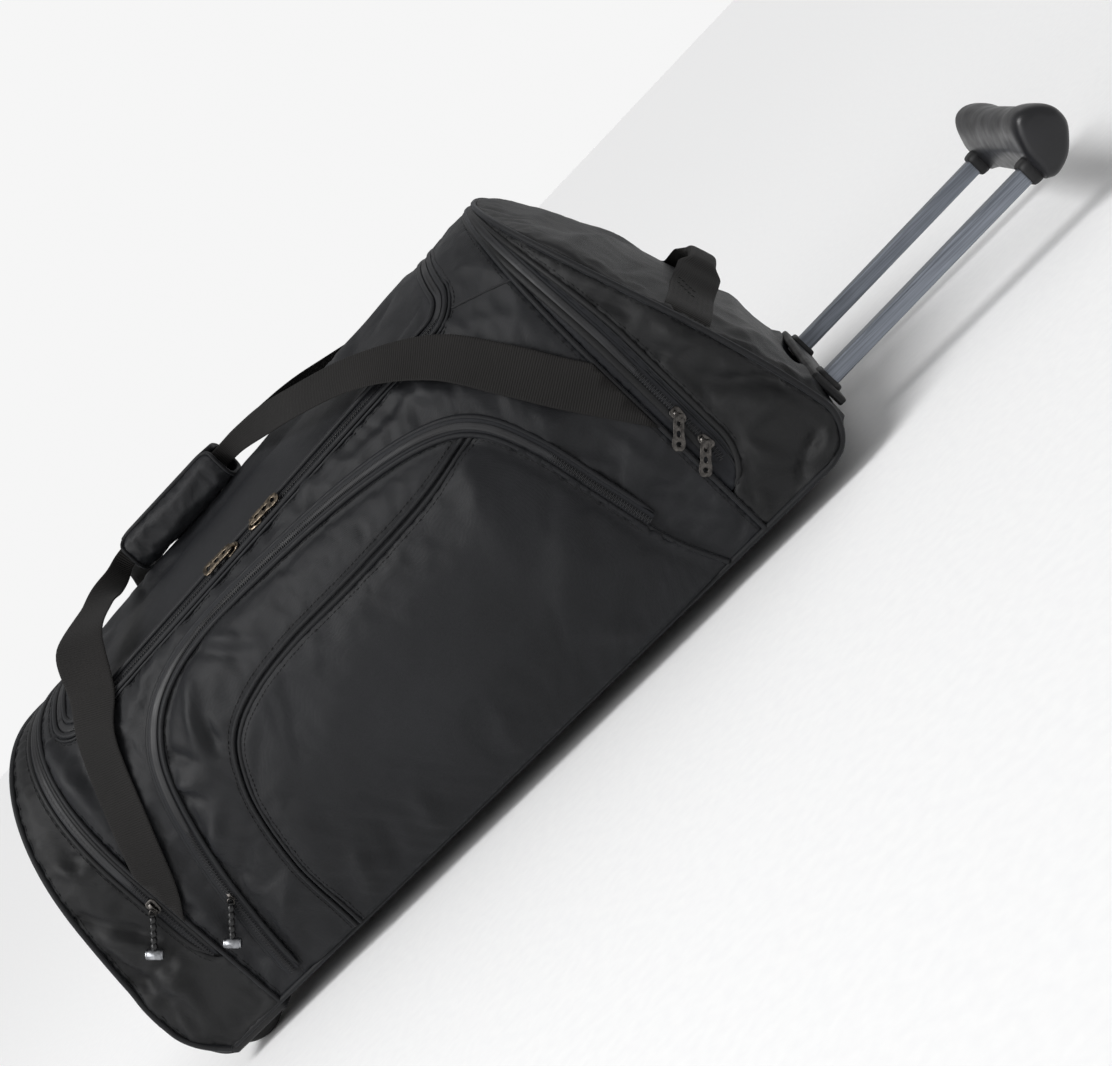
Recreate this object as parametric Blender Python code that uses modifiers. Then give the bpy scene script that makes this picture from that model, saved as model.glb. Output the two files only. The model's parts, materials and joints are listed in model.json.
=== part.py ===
"""Rolling duffel bag: fabric body, wheel end, telescoping trolley handle, zips, straps and runners.

Metres, +Z up. The bag lies on its base with its wheels at -X and the trolley handle drawn out
towards +X. The front side, with the arched pocket, faces -Y. All shapes are laid out in the
bag's own frame, whose X = 0 and Y = 0 planes cut the fabric body near its middle, and the root
empty then moves the whole assembly so that the origin is the centre of its bottom.
"""

import math

import bmesh
import bpy
from mathutils import Matrix, Vector

# ---- driving dimensions -------------------------------------------------------------------
GAP = 0.0003                    # clearance between touching pieces
CLOTH = 0.003                   # fabric with its lining
BODY_HALF_WIDTH = 0.170         # fabric body, to its outer face
BASE_Z = 0.020                  # underside of the fabric base
SHOULDER_Z = 0.170              # where the straight sides turn into the arch
TOP_Z_WHEEL_END = 0.322         # arch height over the wheel-end seam
TOP_Z_HANDLE_END = 0.344        # arch height over the handle-end seam
ARCH_POWER = 2.465              # superellipse exponent of the arch
SEAM_X_WHEEL = -0.283           # seams between the main compartment and the end pockets
SEAM_X_HANDLE = 0.268
BAND_WHEEL = 0.015              # zip bands beside those seams
BAND_HANDLE = 0.030
FLOOR_Z = 0.073                 # false floor over the trolley tubes
POCKET_FLOOR_Z = 0.088          # wheel-end pocket clears the wheel housings
END_X_LOW = 0.366               # handle-end face, low down
END_LEAN = 0.084                # how far that face leans back by the top
WHEEL_END_X = -0.366
WHEEL_END_LEAN = 0.052
LID_ANGLES = (49.4, 127.7)      # arch angles of the lid's front edge and hinge edge
LID_HINGE_ANGLE = 128.0
ZIP_ANGLES = (44.9, 49.1)
LID_X = (-0.2505, 0.2105)
ZIP_WIDTH = 0.010
POCKET_CENTRE_X = -0.010        # arched front pocket
POCKET_HALF_WIDTH = 0.228
POCKET_TOP_Z = 0.268
POCKET_SWELL = 0.017
RAIL_Y = 0.095                  # trolley rails
RAIL_EXIT_X = 0.375
RAIL_EXIT_Z = 0.053
RAIL_SLOPE = 0.025
RAIL_SIZE = (0.016, 0.014)
RAIL_WALL = 0.0012
TUBE_CLEARANCE = 0.0006
RAIL_SPAN = (-0.175, 0.226)     # along the rail axis, from the exit
TUBE_SPAN = (-0.635, -0.006)
GRIP_HALF_LENGTH = 0.118
WHEEL_X = -0.325
WHEEL_Y = 0.136
WHEEL_RADIUS = 0.034
WHEEL_WIDTH = 0.024
AXLE_RADIUS = 0.003
HOUSING_X = (-0.372, -0.2845)
HOUSING_Y = (0.106, 0.1695)
HOUSING_Z = (0.012, 0.0868)
RUNNER_Y = 0.060
WEBBING = 0.0025                # strap thickness
STRAP_WIDTH = 0.038
PULL_LIFT = 0.0060              # zip pulls turn about a bar this high over the zip
CORD_LIFT = 0.0075
CORD_PULL = 0.046               # length of a cord pull
STRAP_AXIS_Y = 0.1714           # the carry straps swing about their sewn ends
STRAP_AXIS_Z = 0.138
BODY_MIDDLE = (0.0, 0.0, 0.16)  # a point inside the bag
BOX_CENTRE_X = 0.13126
BOX_CENTRE_Y = -0.00658

# ---- scene set-up -------------------------------------------------------------------------
for old in list(bpy.data.objects):
    bpy.data.objects.remove(old, do_unlink=True)
PART = bpy.data.collections.new("rolling_duffel_bag")
CUTTERS = bpy.data.collections.new("cutters")
bpy.context.scene.collection.children.link(PART)
bpy.context.scene.collection.children.link(CUTTERS)

COLOURS = {
    "shell_fabric": ((0.020, 0.022, 0.024), 0.78, 0.0),
    "webbing": ((0.024, 0.022, 0.021), 0.85, 0.0),
    "zip_tape": ((0.016, 0.018, 0.022), 0.7, 0.0),
    "zip_metal": ((0.32, 0.27, 0.20), 0.3, 1.0),
    "rail_metal": ((0.10, 0.12, 0.16), 0.35, 0.9),
    "inner_metal": ((0.55, 0.55, 0.56), 0.4, 1.0),
    "plastic": ((0.015, 0.015, 0.016), 0.5, 0.0),
    "tyre": ((0.02, 0.02, 0.02), 0.8, 0.0),
    "board": ((0.05, 0.05, 0.05), 0.7, 0.0),
}


def make_material(slot):
    colour, roughness, metallic = COLOURS[slot]
    material = bpy.data.materials.new(slot)
    material.use_nodes = True
    shader = material.node_tree.nodes["Principled BSDF"]
    shader.inputs["Base Color"].default_value = (*colour, 1.0)
    shader.inputs["Roughness"].default_value = roughness
    shader.inputs["Metallic"].default_value = metallic
    return material


def make_empty(name, location, parent=None):
    empty = bpy.data.objects.new(name, None)
    empty.location = location
    empty.parent = parent
    PART.objects.link(empty)
    return empty


ROOT = make_empty("assembly_origin", (-BOX_CENTRE_X, -BOX_CENTRE_Y, 0.0))
TROLLEY = make_empty("trolley_axis", (RAIL_EXIT_X, 0.0, RAIL_EXIT_Z), ROOT)
TROLLEY.rotation_euler = (0.0, -math.atan(RAIL_SLOPE), 0.0)


def add_object(name, data, slot, parent=ROOT, location=(0.0, 0.0, 0.0), cutter=False):
    """An object in the part's collection, or a hidden cutter."""
    thing = bpy.data.objects.new(name, data)
    thing.location = location
    thing.parent = parent
    if cutter:
        CUTTERS.objects.link(thing)
        thing.hide_render = True
        thing.display_type = "WIRE"
    else:
        PART.objects.link(thing)
        data.materials.append(make_material(slot))
    return thing


def mesh_from(name, points, faces):
    mesh = bpy.data.meshes.new(name)
    mesh.from_pydata(points, [], faces)
    edit = bmesh.new()
    edit.from_mesh(mesh)
    bmesh.ops.recalc_face_normals(edit, faces=edit.faces)
    edit.to_mesh(mesh)
    edit.free()
    return mesh


def face_away(mesh, inside):
    """Turn an open surface's faces so that they point away from a point inside it."""
    total = sum((polygon.center - Vector(inside)).dot(polygon.normal) * polygon.area
                for polygon in mesh.polygons)
    if total < 0:
        mesh.flip_normals()


# ---- shape helpers ------------------------------------------------------------------------
def box_mesh(name, low, high):
    """A cube primitive with the given corners."""
    edit = bmesh.new()
    bmesh.ops.create_cube(edit, size=1.0)
    size = Vector(high) - Vector(low)
    middle = (Vector(high) + Vector(low)) / 2
    bmesh.ops.transform(edit, matrix=Matrix.Translation(middle) @ Matrix.Diagonal((*size, 1.0)),
                        verts=edit.verts)
    mesh = bpy.data.meshes.new(name)
    edit.to_mesh(mesh)
    edit.free()
    return mesh


def add_box(name, low, high, slot, parent=ROOT, bevel=0.0, location=(0.0, 0.0, 0.0), cutter=False):
    thing = add_object(name, box_mesh(name, low, high), slot, parent, location, cutter)
    if bevel:
        edge = thing.modifiers.new("rounding", "BEVEL")
        edge.width = bevel
        edge.segments = 2
    return thing


def cut(target, cutter, operation="DIFFERENCE"):
    step = target.modifiers.new(cutter.name, "BOOLEAN")
    step.operation = operation
    step.object = cutter
    step.solver = "EXACT"


def cylinder_mesh(name, radius, half_length, axis="Y", centre=(0.0, 0.0, 0.0), segments=24):
    edit = bmesh.new()
    bmesh.ops.create_cone(edit, cap_ends=True, segments=segments, radius1=radius, radius2=radius,
                          depth=2 * half_length)
    turn = {"X": Matrix.Rotation(math.radians(90), 4, "Y"),
            "Y": Matrix.Rotation(math.radians(90), 4, "X"),
            "Z": Matrix.Identity(4)}[axis]
    bmesh.ops.transform(edit, matrix=Matrix.Translation(centre) @ turn, verts=edit.verts)
    mesh = bpy.data.meshes.new(name)
    edit.to_mesh(mesh)
    edit.free()
    return mesh


def smooth(thing, angle=35.0):
    thing.data.shade_smooth()
    thing.data.set_sharp_from_angle(angle=math.radians(angle))


def sheet(name, rows, slot, thickness=CLOTH, parent=ROOT):
    """An open lofted surface given a thickness: rows of points, the thickness on the inner side."""
    count = len(rows[0])
    points = [point for row in rows for point in row]
    faces = []
    for i in range(len(rows) - 1):
        for j in range(count - 1):
            a = i * count + j
            faces.append((a, a + 1, a + count + 1, a + count))
    mesh = mesh_from(name, points, faces)
    face_away(mesh, BODY_MIDDLE)
    thing = add_object(name, mesh, slot, parent)
    shell = thing.modifiers.new("thickness", "SOLIDIFY")
    shell.thickness = thickness
    shell.offset = -1.0
    smooth(thing)
    return thing


def closed_between(name, outer, inner, slot, parent=ROOT):
    """A closed solid between two grids of points with the same rows and columns."""
    rows = len(outer)
    columns = len(outer[0])
    points = [p for row in outer for p in row] + [p for row in inner for p in row]
    shift = rows * columns
    faces = []
    for i in range(rows - 1):
        for j in range(columns - 1):
            a = i * columns + j
            quad = (a, a + 1, a + columns + 1, a + columns)
            faces.append(quad)
            faces.append(tuple(v + shift for v in reversed(quad)))
    rim = [j for j in range(columns)]
    rim += [i * columns + columns - 1 for i in range(1, rows)]
    rim += [(rows - 1) * columns + j for j in range(columns - 2, -1, -1)]
    rim += [i * columns for i in range(rows - 2, 0, -1)]
    for a, b in zip(rim, rim[1:] + rim[:1]):
        faces.append((b, a, a + shift, b + shift))
    thing = add_object(name, mesh_from(name, points, faces), slot, parent)
    smooth(thing)
    return thing


def ribbon(name, path, slot, thickness=WEBBING, parent=ROOT):
    """Webbing along a path of (centre, across, width); across is the direction of its width."""
    rings = []
    for i, (centre, across, width) in enumerate(path):
        before = Vector(path[max(i - 1, 0)][0])
        after = Vector(path[min(i + 1, len(path) - 1)][0])
        along = (after - before).normalized()
        side = Vector(across)
        side = (side - side.dot(along) * along).normalized()
        face = side.cross(along)
        centre = Vector(centre)
        rings.append([centre + side * (a * width / 2) + face * (b * thickness / 2)
                      for a, b in ((-1, -1), (1, -1), (1, 1), (-1, 1))])
    points = [p for ring in rings for p in ring]
    faces = [(0, 1, 2, 3)]
    last = 4 * (len(rings) - 1)
    faces.append((last + 3, last + 2, last + 1, last))
    for i in range(len(rings) - 1):
        for k in range(4):
            a = 4 * i + k
            b = 4 * i + (k + 1) % 4
            faces.append((a, a + 4, b + 4, b))
    return add_object(name, mesh_from(name, points, faces), slot, parent)


def smooth_path(knots, steps=4):
    """A Catmull-Rom curve through knots of equal-length tuples."""
    out = []
    for i in range(len(knots) - 1):
        p0 = Vector(knots[max(i - 1, 0)])
        p1 = Vector(knots[i])
        p2 = Vector(knots[i + 1])
        p3 = Vector(knots[min(i + 2, len(knots) - 1)])
        for k in range(steps):
            t = k / steps
            out.append(0.5 * ((2 * p1) + (p2 - p0) * t + (2 * p0 - 5 * p1 + 4 * p2 - p3) * t * t
                              + (3 * p1 - p0 - 3 * p2 + p3) * t ** 3))
    out.append(Vector(knots[-1]))
    return out


def rectangle_tube(name, size, wall, span, y, slot, parent):
    """A rounded rectangular tube along the trolley axis; wall 0 makes it solid."""
    curve = bpy.data.curves.new(name, "CURVE")
    curve.dimensions = "2D"
    curve.fill_mode = "BOTH"
    curve.extrude = (span[1] - span[0]) / 2
    for inset in ((0.0, wall) if wall else (0.0,)):
        half_y = size[0] / 2 - inset
        half_z = size[1] / 2 - inset
        radius = max(0.0025 - inset, 0.0012)
        spline = curve.splines.new("POLY")
        corners = []
        for sy, sz, start in ((1, 1, 0), (-1, 1, 90), (-1, -1, 180), (1, -1, 270)):
            for k in range(4):
                angle = math.radians(start + 30 * k)
                corners.append((sy * (half_y - radius) + radius * math.cos(angle),
                                sz * (half_z - radius) + radius * math.sin(angle)))
        spline.points.add(len(corners) - 1)
        for point, (cy, cz) in zip(spline.points, corners):
            point.co = (cz, cy, 0.0, 1.0)
        spline.use_cyclic_u = True
    thing = add_object(name, curve, slot, parent, ((span[0] + span[1]) / 2, y, 0.0))
    thing.rotation_euler = (0.0, math.radians(90), 0.0)
    return thing


# ---- the fabric body's own surface --------------------------------------------------------
def top_z(x):
    """Height of the arch at a section."""
    share = (x - SEAM_X_WHEEL) / (SEAM_X_HANDLE - SEAM_X_WHEEL)
    share = min(max(share, -0.2), 1.1)
    return TOP_Z_WHEEL_END + share * (TOP_Z_HANDLE_END - TOP_Z_WHEEL_END)


def arch(x, degrees, out=0.0):
    """A point of the arch: 0 degrees is the front shoulder, 90 the top, 180 the back shoulder."""
    angle = math.radians(degrees)
    cosine = math.cos(angle)
    sine = max(math.sin(angle), 0.0)
    half = BODY_HALF_WIDTH + out
    rise = top_z(x) + out - SHOULDER_Z
    y = -math.copysign(abs(cosine) ** (2 / ARCH_POWER), cosine) * half
    return (x, y, SHOULDER_Z + rise * sine ** (2 / ARCH_POWER))


def side_run(x, side, low, degrees, out=0.0, steps=10):
    """Points from the bottom of one side up to an arch angle; side -1 is the front, 1 the back."""
    half = (BODY_HALF_WIDTH + out) * side
    run = [(x, half, low + (SHOULDER_Z - low) * k / 3) for k in range(3)]
    for k in range(steps + 1):
        angle = degrees * k / steps
        run.append(arch(x, angle if side < 0 else 180 - angle, out))
    return run


def stations(low, high, count):
    return [low + (high - low) * k / (count - 1) for k in range(count)]


def handle_end_x(z):
    share = min(max((z - 0.050) / 0.280, 0.0), 1.08)
    return END_X_LOW - END_LEAN * share ** 1.3


def handle_band_x(z):
    """Outer edge of the handle end's zip band: a crescent that narrows over the top."""
    share = max(z - 0.200, 0.0) / 0.130
    return SEAM_X_HANDLE + BAND_HANDLE - 0.023 * share ** 1.5


def wheel_band_x(z):
    return SEAM_X_WHEEL - BAND_WHEEL


def wheel_end_x(z):
    share = min(max((z - 0.080) / 0.250, 0.0), 1.08)
    return WHEEL_END_X + WHEEL_END_LEAN * share ** 1.3


# ---- fabric body --------------------------------------------------------------------------
def build_body():
    xs = stations(SEAM_X_WHEEL, SEAM_X_HANDLE, 7)
    front_edge = ZIP_ANGLES[0] - 0.3
    back_edge = LID_ANGLES[1] + 0.6
    sheet("side_panel_front", [side_run(x, -1, BASE_Z, front_edge) for x in xs], "shell_fabric")
    sheet("side_panel_back", [side_run(x, 1, BASE_Z, 180 - back_edge) for x in xs], "shell_fabric")
    inner = BODY_HALF_WIDTH - CLOTH - GAP
    add_box("base_panel", (SEAM_X_WHEEL, -inner, BASE_Z), (SEAM_X_HANDLE, inner, BASE_Z + 0.0028),
            "shell_fabric")
    board = BASE_Z + 0.0028 + GAP
    add_box("base_board", (SEAM_X_WHEEL + 0.001, -inner + 0.002, board),
            (SEAM_X_HANDLE - 0.001, inner - 0.002, board + 0.003), "board")
    add_box("false_floor", (SEAM_X_WHEEL + 0.001, -inner + 0.001, FLOOR_Z),
            (SEAM_X_HANDLE - 0.001, inner - 0.001, FLOOR_Z + 0.0025), "board")
    angles = stations(LID_ANGLES[0], LID_ANGLES[1], 13)
    sheet("top_lid", [[arch(x, a) for a in angles] for x in stations(*LID_X, 7)], "shell_fabric")
    yoke_angles = stations(front_edge + 0.3, LID_ANGLES[1] + 0.3, 12)
    for name, low, high in (("top_yoke_wheel_end", SEAM_X_WHEEL, LID_X[0] - ZIP_WIDTH - 0.0011),
                            ("top_yoke_handle_end", LID_X[1] + ZIP_WIDTH + 0.0011, SEAM_X_HANDLE)):
        sheet(name, [[arch(x, a) for a in yoke_angles] for x in stations(low, high, 3)],
              "shell_fabric")


def build_partition(name, x, low):
    """The wall between the main compartment and an end pocket, inside the fabric body."""
    out = -CLOTH - 0.0006
    rim = [(x, -(BODY_HALF_WIDTH + out), low)]
    rim += [arch(x, 7.5 * k, out) for k in range(25)]
    rim.append((x, BODY_HALF_WIDTH + out, low))
    faces = [tuple(range(len(rim)))]
    thing = add_object(name, mesh_from(name, rim, faces), "shell_fabric")
    shell = thing.modifiers.new("thickness", "SOLIDIFY")
    shell.thickness = 0.002
    shell.offset = 0.0


def over_the_top(x_of, floor):
    """A run over the arch from one floor level to the other, at x = x_of(z)."""
    run = []
    for side in (-1, 1):
        half = []
        for _, y, z in side_run(SEAM_X_HANDLE, side, floor, 90.0):
            if z > SHOULDER_Z:
                share = (z - SHOULDER_Z) / (top_z(SEAM_X_HANDLE) - SHOULDER_Z)
                z = SHOULDER_Z + share * (top_z(x_of(z)) - SHOULDER_Z)
            half.append((x_of(z), y, z))
        run += half if side < 0 else list(reversed(half))[1:]
    return run


def build_zip_band(name, seam, edge_of, floor):
    """The band of fabric that carries an end pocket's zip, from its seam to its outer edge."""
    rows = []
    for share in (0.0, 0.5, 1.0):
        rows.append(over_the_top(lambda z, s=share: seam + (edge_of(z) - seam) * s, floor))
    sheet(name, rows, "zip_tape")


def end_loop(x_of, floor, inset):
    """The rim of an end pocket: a closed loop of (x, y, z), drawn in by inset."""
    loop = []
    for _, y, z in over_the_top(x_of, floor):
        z = floor + (z - floor) * (1 - inset / (0.33 - floor))
        loop.append((x_of(z), y * (1 - inset / BODY_HALF_WIDTH), z))
    width = loop[-1][1] - loop[0][1]
    for k in (1, 2, 3):
        loop.append((x_of(floor), loop[0][1] + width * (1 - k / 4), floor))
    return loop


def build_end_pocket(name, start_of, x_of, swell, floor):
    """A cup of fabric: a rim beside the zip band, sides along the arch, and a bulging end face."""
    inward = 1 if x_of(0.2) > start_of(0.2) else -1
    outer = []
    for share in (0.0, 0.5, 0.9):
        outer.append(end_loop(lambda z, s=share: start_of(z) + (x_of(z) - start_of(z)) * s, floor, 0.0))
    outer.append(end_loop(x_of, floor, 0.004))
    edge = end_loop(x_of, floor, 0.010)
    middle = 0.18
    for share in (0.8, 0.55, 0.25):
        ring = []
        for _, y, z in edge:
            z = middle + (z - middle) * share
            ring.append((x_of(z) + inward * (swell * (1 - share ** 2)), y * share, z))
        outer.append(ring)
    tip = (x_of(middle) + inward * swell, 0.0, middle)
    count = len(outer[0])
    points = [p for row in outer for p in row]
    points.append(tip)
    faces = []
    for i in range(len(outer) - 1):
        for j in range(count):
            a = i * count + j
            b = i * count + (j + 1) % count
            faces.append((a, b, b + count, a + count))
    last = (len(outer) - 1) * count
    for j in range(count):
        faces.append((last + j, last + (j + 1) % count, len(points) - 1))
    mesh = mesh_from(name, points, faces)
    face_away(mesh, BODY_MIDDLE)
    thing = add_object(name, mesh, "shell_fabric")
    shell = thing.modifiers.new("thickness", "SOLIDIFY")
    shell.thickness = 0.0025
    shell.offset = -1.0
    smooth(thing)


def build_front_pocket():
    """The arched pocket on the front side: a pillow whose outline is half a superellipse."""
    heights = [0.0, 0.12, 0.26, 0.40, 0.54, 0.67, 0.78, 0.87, 0.93, 0.975]
    across = stations(-1.0, 1.0, 17)
    outer = []
    inner = []
    for v in heights:
        half = POCKET_HALF_WIDTH * (1 - v ** 3) ** (1 / 3)
        z = BASE_Z + 0.003 + v * (POCKET_TOP_Z - BASE_Z - 0.003)
        front = []
        back = []
        for u in across:
            x = POCKET_CENTRE_X + u * half
            swell = 0.003 + POCKET_SWELL * (1 - u ** 4) * (1 - v ** 3) * min(1.0, 0.35 + 3 * v)
            front.append(on_side(x, z, swell))
            back.append(on_side(x, z, 0.0006))
        outer.append(front)
        inner.append(back)
    closed_between("front_pocket", outer, inner, "shell_fabric")


def on_side(x, z, out):
    """A point standing out from the front side at a height."""
    if z <= SHOULDER_Z:
        return (x, -BODY_HALF_WIDTH - out, z)
    share = (z - SHOULDER_Z) / (top_z(x) - SHOULDER_Z)
    degrees = math.degrees(math.asin(min(share ** (ARCH_POWER / 2), 1.0)))
    base = Vector(arch(x, degrees))
    beyond = Vector(arch(x, degrees, 0.01))
    return tuple(base + (beyond - base).normalized() * out)


# ---- zips, sliders and pulls --------------------------------------------------------------
def surface_frame(x, degrees):
    """Point, outward normal and along-the-arch direction of the body's surface."""
    point = Vector(arch(x, degrees))
    along = (Vector(arch(x, degrees + 0.5)) - Vector(arch(x, degrees - 0.5))).normalized()
    normal = Vector((-1.0, 0.0, 0.0)).cross(along).normalized()
    if normal.z < 0:
        normal = -normal
    return point, normal, along


def build_main_zip():
    angles = stations(ZIP_ANGLES[0], ZIP_ANGLES[1], 3)
    low = LID_X[0] - 0.0004
    high = LID_X[1] + 0.0004
    rows = [[arch(x, a) for a in angles] for x in stations(low, high, 7)]
    sheet("main_zip_front", rows, "zip_tape", 0.0022)
    sweep = stations(ZIP_ANGLES[0], LID_ANGLES[1] + 0.2, 13)
    for name, start in (("main_zip_wheel_end", low - GAP - ZIP_WIDTH),
                        ("main_zip_handle_end", high + GAP)):
        rows = [[arch(x, a) for a in sweep] for x in (start, start + ZIP_WIDTH)]
        sheet(name, rows, "zip_tape", 0.0022)


def oriented(location, normal, travel):
    """A matrix with local X along travel, local Z along the normal, and its origin at location."""
    z_axis = Vector(normal).normalized()
    x_axis = Vector(travel)
    x_axis = (x_axis - x_axis.dot(z_axis) * z_axis).normalized()
    y_axis = z_axis.cross(x_axis)
    turn = Matrix((x_axis, y_axis, z_axis)).transposed().to_4x4()
    return Matrix.Translation(location) @ turn


def build_slider(name, place):
    """A zip slider's body: a low rounded block with a bridge, local X along the zip."""
    block = box_mesh(name, (-0.0065, -0.0042, 0.0006), (0.0065, 0.0042, 0.0040))
    thing = add_object(name, block, "zip_metal")
    edge = thing.modifiers.new("rounding", "BEVEL")
    edge.width = 0.0008
    edge.segments = 2
    thing.matrix_local = place


def build_pull(name, place, length, slot="zip_metal", width=0.009, thick=0.0016):
    """A slider's pull: a flat tab along local X from its pivot at the local origin."""
    tab = box_mesh(name, (-0.0015, -width / 2, -thick / 2), (length, width / 2, thick / 2))
    thing = add_object(name, tab, slot)
    edge = thing.modifiers.new("rounding", "BEVEL")
    edge.width = 0.0005
    edge.segments = 1
    thing.matrix_local = place


def hang(point, normal, direction, lift):
    """The place of a pull whose pivot stands lift above point."""
    location = Vector(point) + Vector(normal) * lift
    return oriented(location, normal, direction)


def build_sliders():
    for name, x, pull in (("main_slider_left", -0.040, -1), ("main_slider_right", -0.012, 1)):
        point, normal, _ = surface_frame(x, 47.0)
        build_slider(name, oriented(point, normal, (1.0, 0.0, 0.0)))
        build_pull(name.replace("slider", "pull"), hang(point, normal, (pull, 0.0, 0.0), PULL_LIFT),
                   0.030)
    front = Vector((0.0, -1.0, 0.0))
    slant = Vector((-1.0, 0.0, -1.0))
    for name, z in (("end_slider_upper", 0.128), ("end_slider_lower", 0.100)):
        point = Vector((0.284, -BODY_HALF_WIDTH, z))
        build_slider(name, oriented(point, front, (0.0, 0.0, 1.0)))
        build_pull(name.replace("slider", "pull"), hang(point, front, slant, PULL_LIFT), 0.026)
    point = Vector((-0.2915, -BODY_HALF_WIDTH, 0.148))
    build_slider("wheel_pocket_slider", oriented(point, front, (0.0, 0.0, 1.0)))
    build_pull("wheel_pocket_cord_pull", hang(point, front, slant, CORD_LIFT), CORD_PULL, "webbing",
               0.005, 0.005)
    point = Vector((-0.2395, -BODY_HALF_WIDTH, 0.110))
    build_slider("front_pocket_slider", oriented(point, front, (0.06, 0.0, 1.0)))
    build_pull("front_pocket_cord_pull", hang(point, front, slant, CORD_LIFT), CORD_PULL, "webbing",
               0.005, 0.005)


# ---- trolley ------------------------------------------------------------------------------
def build_trolley():
    inner_size = (RAIL_SIZE[0] + 2 * TUBE_CLEARANCE, RAIL_SIZE[1] + 2 * TUBE_CLEARANCE)
    tube_size = (inner_size[0] + 2 * RAIL_WALL, inner_size[1] + 2 * RAIL_WALL)
    hollow = (RAIL_SIZE[0] - 2 * RAIL_WALL, RAIL_SIZE[1] - 2 * RAIL_WALL)
    for name, y in (("front", -RAIL_Y), ("back", RAIL_Y)):
        rectangle_tube(f"outer_tube_{name}", tube_size, RAIL_WALL, TUBE_SPAN, y, "inner_metal", TROLLEY)
        rectangle_tube(f"inner_rail_{name}", RAIL_SIZE, RAIL_WALL, RAIL_SPAN, y, "rail_metal", TROLLEY)
        shoe = (RAIL_SPAN[0] - 0.030, RAIL_SPAN[0] - GAP)
        rectangle_tube(f"rail_shoe_{name}", RAIL_SIZE, 0.0022, shoe, y, "plastic", TROLLEY)
        side = -1 if y < 0 else 1
        rod = (RAIL_SPAN[0] - 0.004, RAIL_SPAN[1] + 0.006)
        add_box(f"push_rod_{name}", (rod[0], y - 0.0025, -0.0015), (rod[1], y + 0.0025, 0.0015),
                "inner_metal", TROLLEY)
        pin = cylinder_mesh(f"lock_pin_{name}", 0.002, 0.0019, "Y")
        add_object(f"lock_pin_{name}", pin, "inner_metal", TROLLEY,
                   (RAIL_SPAN[0] - 0.020, y + side * 0.0055, 0.0))
        hole = add_object(f"pin_hole_{name}", cylinder_mesh("pin_hole", 0.0024, 0.004, "Y"), None,
                          TROLLEY, (RAIL_SPAN[0] - 0.020, y + side * hollow[0] / 2, 0.0), True)
        for piece in (f"outer_tube_{name}", f"rail_shoe_{name}"):
            solid = to_mesh(piece)
            cut(solid, hole)


def to_mesh(name):
    """The curve object called name, made a mesh with welded caps, in the same place."""
    curve = bpy.data.objects[name]
    bpy.context.view_layer.update()
    graph = bpy.context.evaluated_depsgraph_get()
    mesh = bpy.data.meshes.new_from_object(curve.evaluated_get(graph))
    edit = bmesh.new()
    edit.from_mesh(mesh)
    bmesh.ops.remove_doubles(edit, verts=edit.verts, dist=1e-6)
    bmesh.ops.recalc_face_normals(edit, faces=edit.faces)
    edit.to_mesh(mesh)
    edit.free()
    solid = bpy.data.objects.new(name + "_mesh", mesh)
    solid.parent = curve.parent
    solid.matrix_local = curve.matrix_local
    PART.objects.link(solid)
    bpy.data.objects.remove(curve, do_unlink=True)
    solid.name = name
    return solid


def build_trolley_ends():
    """The anchor at the tubes' lower ends and the bezel where the rails leave the bag."""
    add_box("tube_anchor", (TUBE_SPAN[0] - 0.016, -0.112, -0.0085), (TUBE_SPAN[0] - GAP, 0.112, 0.011),
            "plastic", TROLLEY, 0.002)
    bezel = add_box("rail_bezel", (-0.0055, -0.124, -0.0165), (0.0015, 0.124, 0.0165), "plastic",
                    TROLLEY, 0.002)
    for name, y in (("front", -RAIL_Y), ("back", RAIL_Y)):
        half_y = RAIL_SIZE[0] / 2 + 0.0005
        half_z = RAIL_SIZE[1] / 2 + 0.0005
        hole = add_box(f"bezel_hole_{name}", (-0.02, y - half_y, -half_z), (0.02, y + half_y, half_z),
                       None, TROLLEY, cutter=True)
        cut(bezel, hole)


def grip_outline():
    """The grip's section in the trolley's X-Z plane, drawn clockwise from the rail side."""
    return [(-0.006, -0.011), (0.002, -0.0145), (0.016, -0.010), (0.027, 0.000), (0.0335, 0.010),
            (0.034, 0.022), (0.028, 0.033), (0.018, 0.040), (0.008, 0.040), (0.001, 0.033),
            (-0.004, 0.020), (-0.006, 0.010)]


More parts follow.
